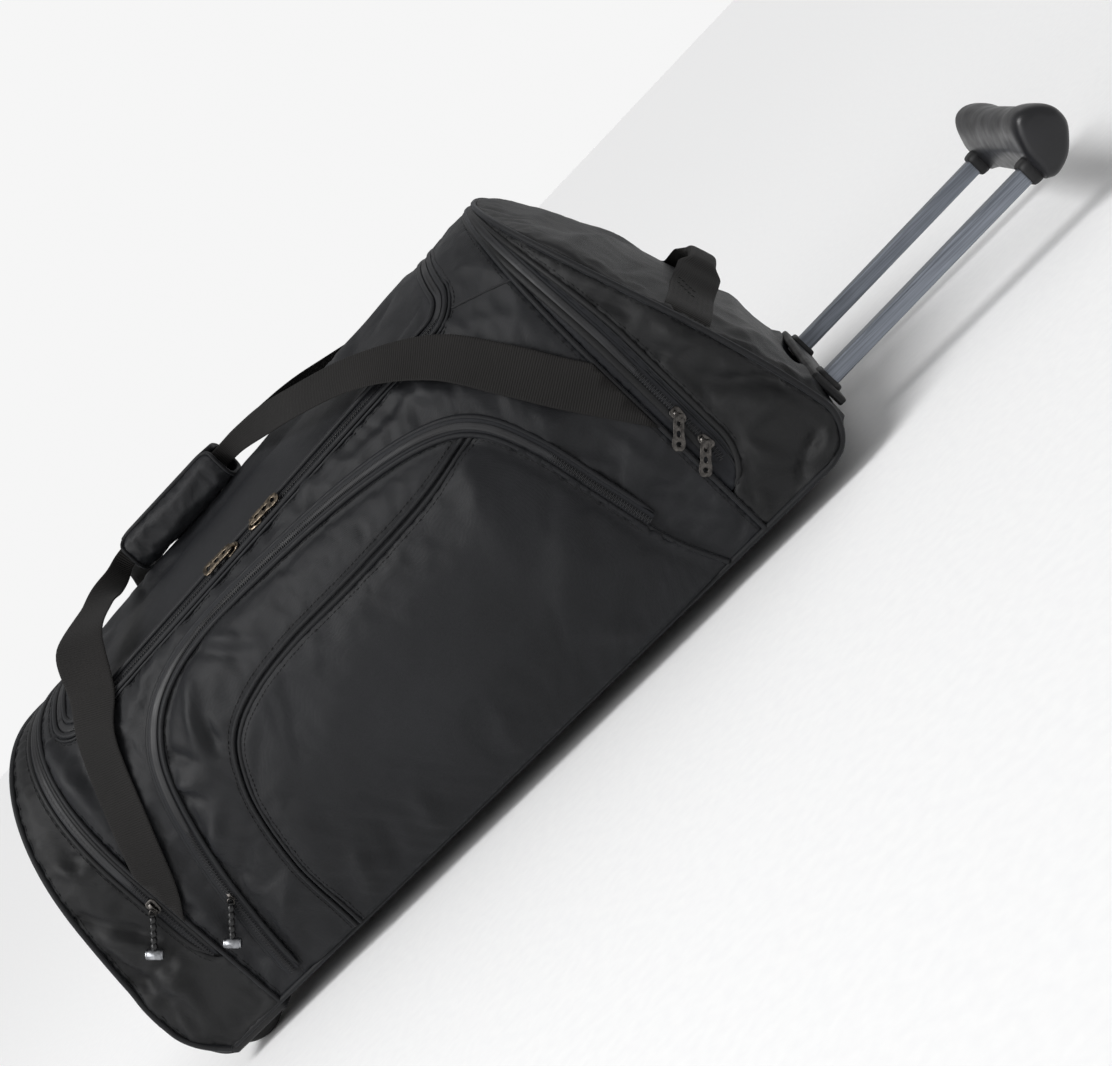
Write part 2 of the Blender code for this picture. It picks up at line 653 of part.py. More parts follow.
def build_grip():
    """Grip across both rails, hollowed for the button and its bridge bar."""
    start = RAIL_SPAN[1]
    outline = [Vector((start + a, 0.0, b)) for a, b in grip_outline()]
    points = []
    stops = (-GRIP_HALF_LENGTH, -GRIP_HALF_LENGTH + 0.004, GRIP_HALF_LENGTH - 0.004, GRIP_HALF_LENGTH)
    middle = Vector((start + 0.014, 0.0, 0.013))
    for k, y in enumerate(stops):
        shrink = 0.9 if k in (0, 3) else 1.0
        for point in outline:
            spot = middle + (point - middle) * shrink
            points.append((spot.x, y, spot.z))
    count = len(outline)
    faces = [tuple(range(count)), tuple(3 * count + j for j in reversed(range(count)))]
    for i in range(3):
        for j in range(count):
            a = i * count + j
            b = i * count + (j + 1) % count
            faces.append((a, b, b + count, a + count))
    grip = add_object("handle_grip", mesh_from("handle_grip", points, faces), "plastic", TROLLEY)
    smooth(grip, 50)
    for name, y in (("front", -RAIL_Y), ("back", RAIL_Y)):
        half = (RAIL_SIZE[0] / 2 + GAP, RAIL_SIZE[1] / 2 + GAP)
        socket = add_box(f"rail_socket_{name}", (start - 0.03, y - half[0], -half[1]),
                         (start + GAP, y + half[0], half[1]), None, TROLLEY, cutter=True)
        cut(grip, socket)
    bar_room = add_box("bar_room", (start - 0.0003, -RAIL_Y - 0.0075, -0.0055),
                       (start + 0.0175, RAIL_Y + 0.0075, 0.0055), None, TROLLEY, cutter=True)
    cut(grip, bar_room)
    button_room = add_box("button_room", (start + 0.010, -0.0265, -0.0045),
                          (start + 0.060, 0.0265, 0.0045), None, TROLLEY, cutter=True)
    cut(grip, button_room)


def build_button():
    """The release button, one moulding with the bar that pushes both rods."""
    start = RAIL_SPAN[1]
    button = add_box("release_button", (start + 0.0100, -0.0255, -0.0038),
                     (start + 0.0335, 0.0255, 0.0038), "plastic", TROLLEY)
    bar = add_box("button_bar", (start + 0.0065, -RAIL_Y - 0.006, -0.0042),
                  (start + 0.0125, RAIL_Y + 0.006, 0.0042), None, TROLLEY, cutter=True)
    cut(button, bar, "UNION")


# ---- wheel end ----------------------------------------------------------------------------
def build_wheel_unit(name, side):
    """One corner: the housing with its well, the axle, and the wheel on it."""
    def across(low, high):
        return (low, high) if side > 0 else (-high, -low)

    y_low, y_high = across(*HOUSING_Y)
    housing = add_box(f"wheel_housing_{name}", (HOUSING_X[0], y_low, HOUSING_Z[0]),
                      (HOUSING_X[1], y_high, HOUSING_Z[1]), "plastic", bevel=0.004)
    well_low, well_high = across(WHEEL_Y - 0.0165, WHEEL_Y + 0.0165)
    well = add_box(f"wheel_well_{name}", (HOUSING_X[0] - 0.02, well_low, -0.02),
                   (HOUSING_X[1] - 0.0035, well_high, HOUSING_Z[1] - 0.008), None, cutter=True)
    cut(housing, well)
    centre = (WHEEL_X, side * WHEEL_Y, WHEEL_RADIUS)
    bore = add_object(f"axle_bore_{name}", cylinder_mesh("bore", AXLE_RADIUS + 0.0002, 0.05, "Y"),
                      None, ROOT, centre, True)
    cut(housing, bore)
    axle = cylinder_mesh(f"axle_{name}", AXLE_RADIUS, 0.0285, "Y")
    add_object(f"axle_{name}", axle, "inner_metal", ROOT, centre)
    build_turned(f"wheel_tyre_{name}", centre, "tyre",
                 [(0.0245, -0.0115), (0.0305, -0.012), (0.033, -0.0095), (WHEEL_RADIUS, -0.005),
                  (WHEEL_RADIUS, 0.005), (0.033, 0.0095), (0.0305, 0.012), (0.0245, 0.0115)])
    build_turned(f"wheel_hub_{name}", centre, "plastic",
                 [(0.0036, -0.0135), (0.008, -0.0135), (0.010, -0.0105), (0.020, -0.009),
                  (0.0242, -0.011), (0.0242, 0.011), (0.020, 0.009), (0.010, 0.0105),
                  (0.008, 0.0135), (0.0036, 0.0135)])


def build_turned(name, centre, slot, profile):
    """A ring turned about Y: a closed profile of (radius, y), its outer side listed with rising y."""
    mesh = bpy.data.meshes.new(name)
    points = [(radius, 0.0, along) for radius, along in reversed(profile)]
    edges = [(k, (k + 1) % len(points)) for k in range(len(points))]
    mesh.from_pydata(points, edges, [])
    thing = add_object(name, mesh, slot, ROOT, centre)
    thing.rotation_euler = (math.radians(-90), 0.0, 0.0)
    turn = thing.modifiers.new("turning", "SCREW")
    turn.axis = "Z"
    turn.angle = math.tau
    turn.steps = 32
    turn.render_steps = 32
    turn.use_merge_vertices = True
    turn.merge_threshold = 0.00001
    return thing


def build_base_pieces():
    """The plastic end of the base around the tubes, the kick plate, and the skid runners."""
    outer = BODY_HALF_WIDTH
    base = add_box("handle_end_base", (SEAM_X_HANDLE + GAP, -outer, BASE_Z),
                   (END_X_LOW, outer, FLOOR_Z), "shell_fabric")
    room = add_box("tube_room", (SEAM_X_HANDLE - 0.02, -outer + 0.003, BASE_Z + 0.003),
                   (END_X_LOW - 0.003, outer - 0.003, 0.2), None, cutter=True)
    cut(base, room)
    for name, y in (("front", -RAIL_Y), ("back", RAIL_Y)):
        slot = add_box(f"tube_slot_{name}", (-0.04, y - 0.0110, -0.0100), (0.04, y + 0.0110, 0.0100),
                       None, TROLLEY, cutter=True)
        cut(base, slot)
    low = BASE_Z
    path = [(HOUSING_X[1], low), (-0.355, low), (-0.361, low + 0.002), (-0.3645, low + 0.006),
            (WHEEL_END_X, low + 0.012), (WHEEL_END_X, HOUSING_Z[1])]
    rows = [[(x, y, z) for x, z in path] for y in stations(-HOUSING_Y[0] + GAP, HOUSING_Y[0] - GAP, 3)]
    sheet("kick_plate", rows, "plastic", 0.0025)
    for name, side in (("front", -1), ("back", 1)):
        y = side * RUNNER_Y
        add_box(f"base_runner_{name}", (-0.262, y - 0.009, 0.0), (0.345, y + 0.009, BASE_Z - GAP),
                "plastic", bevel=0.003)


# ---- straps and handles -------------------------------------------------------------------
def beside_body(x, z, across, width, lift=0.0045):
    """A strap's knot that lies along the front side's surface."""
    centre = Vector(on_side(x, z, lift))
    normal = (centre - Vector(on_side(x, z, 0.0))).normalized()
    flat = Vector(across)
    flat -= flat.dot(normal) * normal
    return (tuple(centre), tuple(flat.normalized()), width)


def strap_knots(side):
    """Centre, across direction and width of a carry strap; side -1 is the front one."""
    crown_y = -0.0100 if side < 0 else 0.0040
    knots = [
        beside_body(0.2480, 0.1570, (0.62, 0.0, 0.78), STRAP_WIDTH, 0.0026),
        beside_body(0.2360, 0.1950, (0.70, 0.0, 0.70), STRAP_WIDTH, 0.0040),
        beside_body(0.2180, 0.2400, (0.80, -0.3, 0.45), STRAP_WIDTH, 0.0065),
        beside_body(0.1850, 0.2820, (0.80, 0.3, 0.45), 0.036, 0.0085),
        ((0.1300, -0.1200, 0.3260), (0.25, 0.75, 0.60), 0.032),
        ((0.0600, -0.0750, 0.3480), (0.10, 0.55, 0.80), 0.026),
        ((0.0080, -0.0320, 0.3560), (0.0, 0.20, 0.98), 0.019),
        ((-0.0250, crown_y, 0.3560), (0.0, 0.0, 1.0), 0.017),
        ((-0.0800, crown_y, 0.3560), (0.0, 0.0, 1.0), 0.017),
        ((-0.1450, crown_y, 0.3560), (0.0, 0.0, 1.0), 0.017),
        ((-0.1750, -0.0350, 0.3540), (0.0, 0.25, 0.97), 0.020),
        ((-0.2000, -0.0800, 0.3440), (-0.2, 0.65, 0.72), 0.028),
        ((-0.2150, -0.1250, 0.3180), (-0.55, 0.55, 0.60), 0.035),
        beside_body(-0.2300, 0.2680, (-0.80, 0.30, 0.50), STRAP_WIDTH, 0.0065),
        beside_body(-0.2480, 0.2100, (-0.90, 0.0, 0.35), STRAP_WIDTH, 0.0040),
        beside_body(-0.2630, 0.1500, (-0.95, 0.0, 0.25), 0.035, 0.0026),
    ]
    out = []
    for (x, y, z), (ax, ay, az), width in knots:
        if y != crown_y:
            y = -side * y
            ay = -side * ay
        out.append(((x, y, z), (ax, ay, az), width))
    return out


def build_straps():
    for name, side in (("carry_strap_front", -1), ("carry_strap_back", 1)):
        knots = strap_knots(side)
        centres = smooth_path([k[0] for k in knots])
        acrosses = smooth_path([k[1] for k in knots])
        widths = smooth_path([(k[2], 0.0, 0.0) for k in knots])
        ribbon(name, [(c, a, w[0]) for c, a, w in zip(centres, acrosses, widths)], "webbing")


def build_wrap_grip():
    """The padded wrap: a rounded bar along X with a channel open to the back for the straps."""
    grip = add_box("wrap_grip", (-0.1450, -0.0220, 0.3395), (-0.0250, 0.0160, 0.3725), "shell_fabric",
                   bevel=0.007)
    channel = add_box("strap_channel", (-0.2, -0.0135, 0.3435), (0.05, 0.05, 0.3685), None, cutter=True)
    cut(grip, channel)


def build_grab_handle():
    """Webbing loop on the handle-end face, lying across it and standing proud in the middle."""
    stops = [(-0.100, 0.0), (-0.085, 0.0), (-0.070, 0.004), (-0.052, 0.0150), (-0.030, 0.0210),
             (0.0, 0.0230), (0.030, 0.0210), (0.052, 0.0150), (0.070, 0.004), (0.085, 0.0), (0.100, 0.0)]
    z = 0.172
    lean = Vector((handle_end_x(z + 0.02) - handle_end_x(z - 0.02), 0.0, 0.04)).normalized()
    outward = Vector((lean.z, 0.0, -lean.x))
    path = []
    for y, rise in stops:
        face = handle_end_x(z) + 0.012 * (1 - (y / BODY_HALF_WIDTH) ** 2) + 0.0035
        path.append((Vector((face, y, z)) + outward * rise, lean, STRAP_WIDTH))
    ribbon("end_grab_handle", path, "webbing")


def pivot_at(name, point):
    """Put an object's origin on its joint's axis without moving its shape."""
    thing = bpy.data.objects[name]
    thing.data.transform(Matrix.Translation(-Vector(point)))
    thing.location = point


build_body()
build_partition("partition_wheel_end", SEAM_X_WHEEL + 0.0015, FLOOR_Z + 0.003)
build_partition("partition_handle_end", SEAM_X_HANDLE - 0.0015, FLOOR_Z + 0.003)
build_zip_band("zip_band_wheel_end", SEAM_X_WHEEL - GAP, wheel_band_x, POCKET_FLOOR_Z)
build_zip_band("zip_band_handle_end", SEAM_X_HANDLE + GAP, handle_band_x, FLOOR_Z + GAP)
build_end_pocket("end_pocket_handle", lambda z: handle_band_x(z) + GAP, handle_end_x, 0.012,
                 FLOOR_Z + GAP)
build_end_pocket("end_pocket_wheel", lambda z: wheel_band_x(z) - GAP, wheel_end_x, 0.006,
                 POCKET_FLOOR_Z)
build_front_pocket()
build_main_zip()
build_sliders()
build_trolley()
build_trolley_ends()
build_grip()
build_button()
build_wheel_unit("front", -1)
build_wheel_unit("back", 1)
build_base_pieces()
build_straps()
build_wrap_grip()
build_grab_handle()
hinge_ends = [Vector(arch(x, LID_HINGE_ANGLE)) for x in LID_X]
pivot_at("top_lid", (hinge_ends[0] + hinge_ends[1]) / 2)
for strap, y in (("carry_strap_front", -STRAP_AXIS_Y), ("wrap_grip", -STRAP_AXIS_Y),
                 ("carry_strap_back", STRAP_AXIS_Y)):
    pivot_at(strap, (0.0, y, STRAP_AXIS_Z))
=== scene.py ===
"""How the rolling duffel bag looks: sewn fabric panels, zips, webbing, moulded grip and wheels.

Shapes are laid out in the bag's own frame, the one that the part's source uses, and SHIFT moves
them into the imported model's frame. One function, skin(), is the surface of the fabric body, and
panels, piping, zips and stitching all lie on it. A panel is cut out in the flat, in x and in the
distance s along the bag's section from its front base edge, and is then sewn onto that surface.
"""
import json
import math

import bmesh
import bpy
import numpy as np
from mathutils import Matrix, Vector, kdtree, noise
from mathutils.bvhtree import BVHTree
from mathutils.geometry import delaunay_2d_cdt
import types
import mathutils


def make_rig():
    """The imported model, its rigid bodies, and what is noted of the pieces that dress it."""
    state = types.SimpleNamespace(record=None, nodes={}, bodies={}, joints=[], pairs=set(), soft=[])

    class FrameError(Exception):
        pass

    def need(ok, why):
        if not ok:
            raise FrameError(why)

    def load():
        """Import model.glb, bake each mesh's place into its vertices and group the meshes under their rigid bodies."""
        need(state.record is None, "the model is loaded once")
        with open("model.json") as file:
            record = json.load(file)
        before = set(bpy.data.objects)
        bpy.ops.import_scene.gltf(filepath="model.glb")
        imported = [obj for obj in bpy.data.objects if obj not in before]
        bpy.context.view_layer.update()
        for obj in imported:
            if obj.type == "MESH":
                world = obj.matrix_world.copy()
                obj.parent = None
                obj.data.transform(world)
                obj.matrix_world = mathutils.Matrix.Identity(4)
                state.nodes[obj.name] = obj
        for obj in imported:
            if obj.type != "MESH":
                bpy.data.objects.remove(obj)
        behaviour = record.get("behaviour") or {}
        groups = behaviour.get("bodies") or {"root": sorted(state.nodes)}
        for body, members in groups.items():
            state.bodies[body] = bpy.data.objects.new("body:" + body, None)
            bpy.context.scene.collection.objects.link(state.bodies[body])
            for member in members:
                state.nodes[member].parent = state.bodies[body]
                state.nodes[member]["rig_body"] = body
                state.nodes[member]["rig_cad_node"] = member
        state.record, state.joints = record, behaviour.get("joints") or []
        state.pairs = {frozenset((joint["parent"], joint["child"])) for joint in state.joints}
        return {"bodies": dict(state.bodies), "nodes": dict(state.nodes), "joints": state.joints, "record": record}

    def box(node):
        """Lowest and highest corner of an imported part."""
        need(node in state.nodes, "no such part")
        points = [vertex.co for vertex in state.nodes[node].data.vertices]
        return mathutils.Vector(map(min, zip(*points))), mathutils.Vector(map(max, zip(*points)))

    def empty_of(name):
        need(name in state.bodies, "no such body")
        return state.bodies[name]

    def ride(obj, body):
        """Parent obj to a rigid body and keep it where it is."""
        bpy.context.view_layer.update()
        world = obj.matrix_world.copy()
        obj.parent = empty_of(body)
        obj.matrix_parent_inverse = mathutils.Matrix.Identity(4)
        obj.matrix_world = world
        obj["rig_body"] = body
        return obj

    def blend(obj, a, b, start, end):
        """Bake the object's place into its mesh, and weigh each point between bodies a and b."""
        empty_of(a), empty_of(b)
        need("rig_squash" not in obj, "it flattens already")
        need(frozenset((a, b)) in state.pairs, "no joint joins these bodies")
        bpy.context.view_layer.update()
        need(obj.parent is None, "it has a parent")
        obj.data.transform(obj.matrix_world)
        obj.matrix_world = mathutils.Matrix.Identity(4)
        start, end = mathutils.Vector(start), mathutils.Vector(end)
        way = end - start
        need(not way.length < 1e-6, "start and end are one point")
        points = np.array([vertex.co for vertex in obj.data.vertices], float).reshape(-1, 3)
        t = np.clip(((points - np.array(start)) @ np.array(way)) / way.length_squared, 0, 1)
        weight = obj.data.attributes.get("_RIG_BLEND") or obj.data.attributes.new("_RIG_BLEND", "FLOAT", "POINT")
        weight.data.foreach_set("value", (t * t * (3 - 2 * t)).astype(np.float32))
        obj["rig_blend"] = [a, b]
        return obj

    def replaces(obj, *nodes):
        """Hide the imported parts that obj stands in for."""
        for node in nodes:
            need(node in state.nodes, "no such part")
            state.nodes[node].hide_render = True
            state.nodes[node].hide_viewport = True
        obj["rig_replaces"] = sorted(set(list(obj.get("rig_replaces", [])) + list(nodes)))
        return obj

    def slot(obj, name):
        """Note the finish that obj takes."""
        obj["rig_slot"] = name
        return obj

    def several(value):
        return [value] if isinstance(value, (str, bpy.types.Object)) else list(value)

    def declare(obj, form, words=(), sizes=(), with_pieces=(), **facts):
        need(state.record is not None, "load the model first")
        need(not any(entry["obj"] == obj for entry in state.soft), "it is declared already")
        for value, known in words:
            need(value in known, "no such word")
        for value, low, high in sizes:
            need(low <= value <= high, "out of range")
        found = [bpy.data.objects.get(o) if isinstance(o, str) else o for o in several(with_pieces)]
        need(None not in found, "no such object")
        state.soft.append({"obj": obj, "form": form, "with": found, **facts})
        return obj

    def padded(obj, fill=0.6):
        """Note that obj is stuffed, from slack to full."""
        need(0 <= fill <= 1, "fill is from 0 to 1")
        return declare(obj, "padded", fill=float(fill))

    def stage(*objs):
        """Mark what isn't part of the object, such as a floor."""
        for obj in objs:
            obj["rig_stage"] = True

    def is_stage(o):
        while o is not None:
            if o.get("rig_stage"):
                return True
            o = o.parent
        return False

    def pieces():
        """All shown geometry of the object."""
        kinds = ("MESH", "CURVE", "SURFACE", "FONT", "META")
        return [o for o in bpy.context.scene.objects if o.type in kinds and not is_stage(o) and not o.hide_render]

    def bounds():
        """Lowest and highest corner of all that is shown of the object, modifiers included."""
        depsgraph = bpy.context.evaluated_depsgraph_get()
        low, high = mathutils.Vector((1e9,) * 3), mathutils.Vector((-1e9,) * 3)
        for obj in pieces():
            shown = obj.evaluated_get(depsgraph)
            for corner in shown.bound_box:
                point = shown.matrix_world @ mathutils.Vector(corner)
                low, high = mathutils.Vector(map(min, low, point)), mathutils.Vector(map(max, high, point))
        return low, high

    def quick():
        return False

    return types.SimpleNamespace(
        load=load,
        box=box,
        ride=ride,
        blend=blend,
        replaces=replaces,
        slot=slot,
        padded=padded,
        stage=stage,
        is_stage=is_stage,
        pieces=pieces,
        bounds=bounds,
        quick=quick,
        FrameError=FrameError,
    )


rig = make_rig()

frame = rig.load()
CAD_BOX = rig.bounds()
JOINTS = {joint["name"]: joint for joint in frame["joints"]}

# ---- driving dimensions, in metres --------------------------------------------------------
SEAM_WHEEL = -0.283             # seams between the main compartment and the end pockets
SEAM_HANDLE = 0.268
SHOULDER_Z = 0.170              # where the straight sides turn into the arch
TOP_WHEEL = 0.322               # arch height over each seam
TOP_HANDLE = 0.344
ARCH_EXPONENT = 2 / 2.465       # squareness of the arch: 1 is an ellipse, less is squarer
LID_X = (-0.2505, 0.2105)       # the lid's two ends
LID_DEGREES = (49.4, 127.7)     # places on the arch: 0 is the front shoulder, 90 the top
ZIP_DEGREES = (44.9, 47.0, 49.1)   # outer edge, middle and inner edge of the lid's zip
PIPING = 0.0021                 # radius of the cord in the seams
CLOTH = 0.0016                  # thickness of the fabric
GRAIN = 0.0046                  # spacing of the panels' vertices
STEP = 0.004                    # spacing of points along cords, hems and zips
FOLD_DEPTH = 1.45               # how strongly the authored folds stand out
FACE_FOLDS = 0.62               # how much of that the end faces take
CLOTH_STEPS = 20                # frames that the cloth is given to settle
SKIRT_TOP, SKIRT_FADE = 0.114, 0.022   # where the wheel end's side starts to stand out below
WHEEL_FACE_FLOOR = 0.088        # lower edge of the wheel-end face, above the housings
RAIL_Y = 0.095                  # distance of each rail from the bag's middle
SLOPE = 0.025                   # how much the trolley rails rise per metre
STRAP_WIDTH = 0.038             # width of the webbing, laid flat

PANEL_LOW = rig.box("side_panel_front")[0]
BASE_Z = PANEL_LOW.z
HALF = (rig.box("side_panel_back")[1].y - PANEL_LOW.y) / 2
SHIFT = np.array([PANEL_LOW.x - SEAM_WHEEL, PANEL_LOW.y + HALF, 0.0])
SIDE_RUN = SHOULDER_Z - BASE_Z
MIDDLE = np.array([0.0, 0.0, 0.16])   # a point inside the bag


# ---- numbers ------------------------------------------------------------------------------
def ease(value):
    """A smooth step from 0 to 1."""
    t = np.clip(value, 0.0, 1.0)
    return t * t * (3 - 2 * t)


def unit(vectors):
    vectors = np.asarray(vectors, float)
    return vectors / np.maximum(np.linalg.norm(vectors, axis=-1, keepdims=True), 1e-12)


def columns(*values):
    """An array whose columns are these values; a single number fills its column."""
    return np.stack(np.broadcast_arrays(*values), axis=-1).astype(float)


def circle(count):
    return np.linspace(0, math.tau, count, endpoint=False)


def quarter(radius, count):
    """Points of a quarter circle, from the x axis to the y axis."""
    angle = np.linspace(0, math.pi / 2, count)
    return radius * columns(np.cos(angle), np.sin(angle))


def curve_through(knots, steps=12):
    """A Catmull-Rom curve through knots, as an array of points."""
    knots = np.array(knots, float)
    ends = np.vstack([2 * knots[0] - knots[1], knots, 2 * knots[-1] - knots[-2]])
    t = np.linspace(0, 1, steps, endpoint=False)[:, None]
    runs = []
    for p0, p1, p2, p3 in zip(ends, ends[1:], ends[2:], ends[3:]):
        runs.append(0.5 * (2 * p1 + (p2 - p0) * t + (2 * p0 - 5 * p1 + 4 * p2 - p3) * t ** 2
                           + (3 * p1 - p0 - 3 * p2 + p3) * t ** 3))
    return np.vstack(runs + [knots[-1:]])


def run_along(path):
    """Distance along a polyline to each of its points."""
    return np.concatenate([[0], np.cumsum(np.linalg.norm(np.diff(path, axis=0), axis=1))])


def resample(path, step=STEP):
    """The same polyline with points about a step apart."""
    path = np.asarray(path, float)
    run = run_along(path)
    count = max(int(round(run[-1] / step)), 1) + 1
    stops = np.linspace(0, run[-1], count)
    return np.stack([np.interp(stops, run, path[:, k]) for k in range(path.shape[1])], axis=1)


def closed(path):
    return np.vstack([path, path[:1]])


def beside(path, distance):
    """A flat path moved sideways, to the left of its direction."""
    path = np.asarray(path, float)
    heading = unit(np.gradient(path, axis=0))
    return path + distance * columns(-heading[:, 1], heading[:, 0])


def distance_to(points, path):
    """Distance of each flat point to a flat polyline."""
    points = np.asarray(points, float)
    best = np.full(len(points), np.inf)
    for a, b in zip(path[:-1], path[1:]):
        d = b - a
        t = np.clip(((points - a) @ d) / max(d @ d, 1e-18), 0, 1)
        best = np.minimum(best, np.linalg.norm(points - a - t[:, None] * d, axis=1))
    return best


def inside(points, polygon):
    """Which flat points lie in a closed polygon."""
    points = np.asarray(points, float)
    found = np.zeros(len(points), bool)
    for (x1, y1), (x2, y2) in zip(polygon, np.roll(polygon, -1, axis=0)):
        crosses = (y1 > points[:, 1]) != (y2 > points[:, 1])
        if crosses.any():
            edge_x = x1 + (points[:, 1] - y1) * (x2 - x1) / (y2 - y1 + 1e-18)
            found ^= crosses & (points[:, 0] < edge_x)
    return found


def within(points, outline, holes):
    """Which flat points lie in an outline and in none of its holes."""
    keep = inside(points, outline)
    for hole in holes:
        keep &= ~inside(points, hole)
    return keep


def nearest_distance(points, others):
    """Distance of each flat point to the nearest of some others."""
    tree = kdtree.KDTree(len(others))
    for k, (x, y) in enumerate(others):
        tree.insert((x, y, 0), k)
    tree.balance()
    return np.array([tree.find((x, y, 0))[2] for x, y in points])


# ---- the fabric body's surface ------------------------------------------------------------
def top_z(x):
    share = np.clip((np.asarray(x, float) - SEAM_WHEEL) / (SEAM_HANDLE - SEAM_WHEEL), -0.2, 1.1)
    return TOP_WHEEL + share * (TOP_HANDLE - TOP_WHEEL)


def arch(x, degrees, out=0.0):
    """y and z on the arch: 0 degrees is the front shoulder, 90 the top, 180 the back shoulder."""
    angle = np.radians(degrees)
    cosine = np.cos(angle)
    sine = np.clip(np.sin(angle), 0.0, None)
    y = -np.sign(cosine) * np.abs(cosine) ** ARCH_EXPONENT * (HALF + out)
    return y, SHOULDER_Z + (top_z(x) + out - SHOULDER_Z) * sine ** ARCH_EXPONENT


ARCH_DEGREES = np.linspace(0, 180, 721)
ARCH_STEPS = np.hypot(*[np.diff(v) for v in arch(0.0, ARCH_DEGREES)])
ARCH_RUN = np.concatenate([[0], np.cumsum(ARCH_STEPS)])
GIRTH = 2 * SIDE_RUN + ARCH_RUN[-1]


def s_at(degrees):
    return SIDE_RUN + np.interp(degrees, ARCH_DEGREES, ARCH_RUN)


def s_at_height(z, x=0.0):
    """Distance up the front side to a height."""
    z = np.asarray(z, float)
    share = np.clip((z - SHOULDER_Z) / (top_z(x) - SHOULDER_Z), 0, 1)
    degrees = np.degrees(np.arcsin(share ** (1 / ARCH_EXPONENT)))
    return np.where(z <= SHOULDER_Z, z - BASE_Z, s_at(degrees))


def fullness(x, s):
    """How far the filled fabric bellies out between its seams."""
    u = np.clip((x - SEAM_WHEEL) / (SEAM_HANDLE - SEAM_WHEEL), 0, 1)
    v = np.clip(np.minimum(s, GIRTH - s) / 0.29, 0, 1)
    return 0.005 * np.sin(np.pi * u) * np.sin(np.pi * v)


def skin(x, s, out=0.0):
    """Points on the body, standing out by some distance."""
    x, s, out = np.broadcast_arrays(*(np.asarray(value, float) for value in (x, s, out)))
    out = out + fullness(x, s)
    y, z = arch(x, np.interp(s - SIDE_RUN, ARCH_RUN, ARCH_DEGREES), out)
    z = np.where(s < SIDE_RUN, BASE_Z + s, np.where(s > GIRTH - SIDE_RUN, BASE_Z + GIRTH - s, z))
    return columns(x, y, z)


def skin_normal(x, s):
    e = 0.002
    along_x = skin(x + e, s) - skin(x - e, s)
    along_s = skin(x, s + e) - skin(x, s - e)
    return unit(np.cross(along_x, along_s))


def lifted(flat, out=0.0):
    """Points and normals of a flat path laid on the body, standing out along the normal."""
    flat = np.asarray(flat, float)
    normals = skin_normal(flat[:, 0], flat[:, 1])
    return skin(flat[:, 0], flat[:, 1]) + normals * np.reshape(out, (-1, 1)), normals


def handle_end_x(z):
    """Where the handle-end face meets the sides, with its rounded lower corner."""
    z = np.asarray(z, float)
    lean = 0.366 - 0.084 * np.clip((z - 0.050) / 0.280, 0, 1.08) ** 1.3
    low = np.clip((0.056 - z) / (0.056 - BASE_Z), 0, 1)
    return lean - 0.030 * (1 - np.sqrt(1 - low ** 2))


def wheel_end_x(z):
    z = np.asarray(z, float)
    lean = -0.366 + 0.052 * np.clip((z - 0.080) / 0.250, 0, 1.08) ** 1.3
    return lean + 0.024 * np.clip((0.066 - z) / 0.046, 0, 1) ** 2.0


def handle_band_x(z):
    """Outer edge of the crescent that carries the handle-end zip."""
    z = np.asarray(z, float)
    edge = 0.298 - 0.021 * (np.maximum(z - 0.200, 0) / 0.130) ** 1.5
    low = np.clip((0.100 - z) / 0.042, 0, 1)
    return SEAM_HANDLE + (edge - SEAM_HANDLE) * np.sqrt(1 - low ** 2)


def wheel_band_x(z):
    z = np.asarray(z, float)
    low = np.clip((0.124 - z) / 0.045, 0, 1)
    return SEAM_WHEEL - 0.0155 * np.sqrt(1 - low ** 2)


def section_path(x_of, count=260):
    """A flat path over the body from one side to the other at x = x_of(z)."""
    s = np.linspace(0.0, GIRTH, count)
    x = np.full(count, float(np.mean(x_of(np.array([0.05, 0.3])))))
    for _ in range(4):
        x = x_of(skin(x, s)[:, 2])
    return columns(x, s)


def seam_path(x):
    return section_path(lambda z: np.full(np.shape(z), x))


# ---- materials ----------------------------------------------------------------------------
def feed(tree, made, inputs):
    """Sets a node's inputs, or links them where the value is a socket."""
    for key, value in inputs.items():
        if isinstance(value, bpy.types.NodeSocket):
            tree.links.new(value, made.inputs[key])
        else:
            made.inputs[key].default_value = value


def node(tree, kind, inputs=None, **settings):
    made = tree.nodes.new(kind)
    for key, value in settings.items():
        setattr(made, key, value)
    feed(tree, made, inputs or {})
    return made


def maths(tree, operation, a, b=0.0):
    return node(tree, "ShaderNodeMath", {0: a, 1: b}, operation=operation).outputs[0]


def noise_at(tree, scale, detail=3.0, coordinates=None):
    if coordinates is None:
        coordinates = node(tree, "ShaderNodeTexCoord").outputs["Object"]
    inputs = {"Scale": scale, "Detail": detail, "Roughness": 0.5, "Vector": coordinates}
    return node(tree, "ShaderNodeTexNoise", inputs).outputs["Fac"]


def ramp(tree, value, low, high, start=0.3, end=0.7):
    """A value between start and end, spread over low to high."""
    return node(tree, "ShaderNodeMapRange", {0: value, 1: start, 2: end, 3: low, 4: high}).outputs[0]


def tinted(tree, factor, dark, light):
    inputs = {0: factor, 6: (*dark, 1), 7: (*light, 1)}
    return node(tree, "ShaderNodeMix", inputs, data_type="RGBA").outputs[2]


def bumped(tree, height, strength, distance, **below):
    inputs = {"Strength": strength, "Distance": distance, "Height": height, **below}
    return node(tree, "ShaderNodeBump", inputs).outputs[0]


def new_material(name):
    material = bpy.data.materials.new(name)
    material.use_nodes = True
    return material, material.node_tree, material.node_tree.nodes["Principled BSDF"]


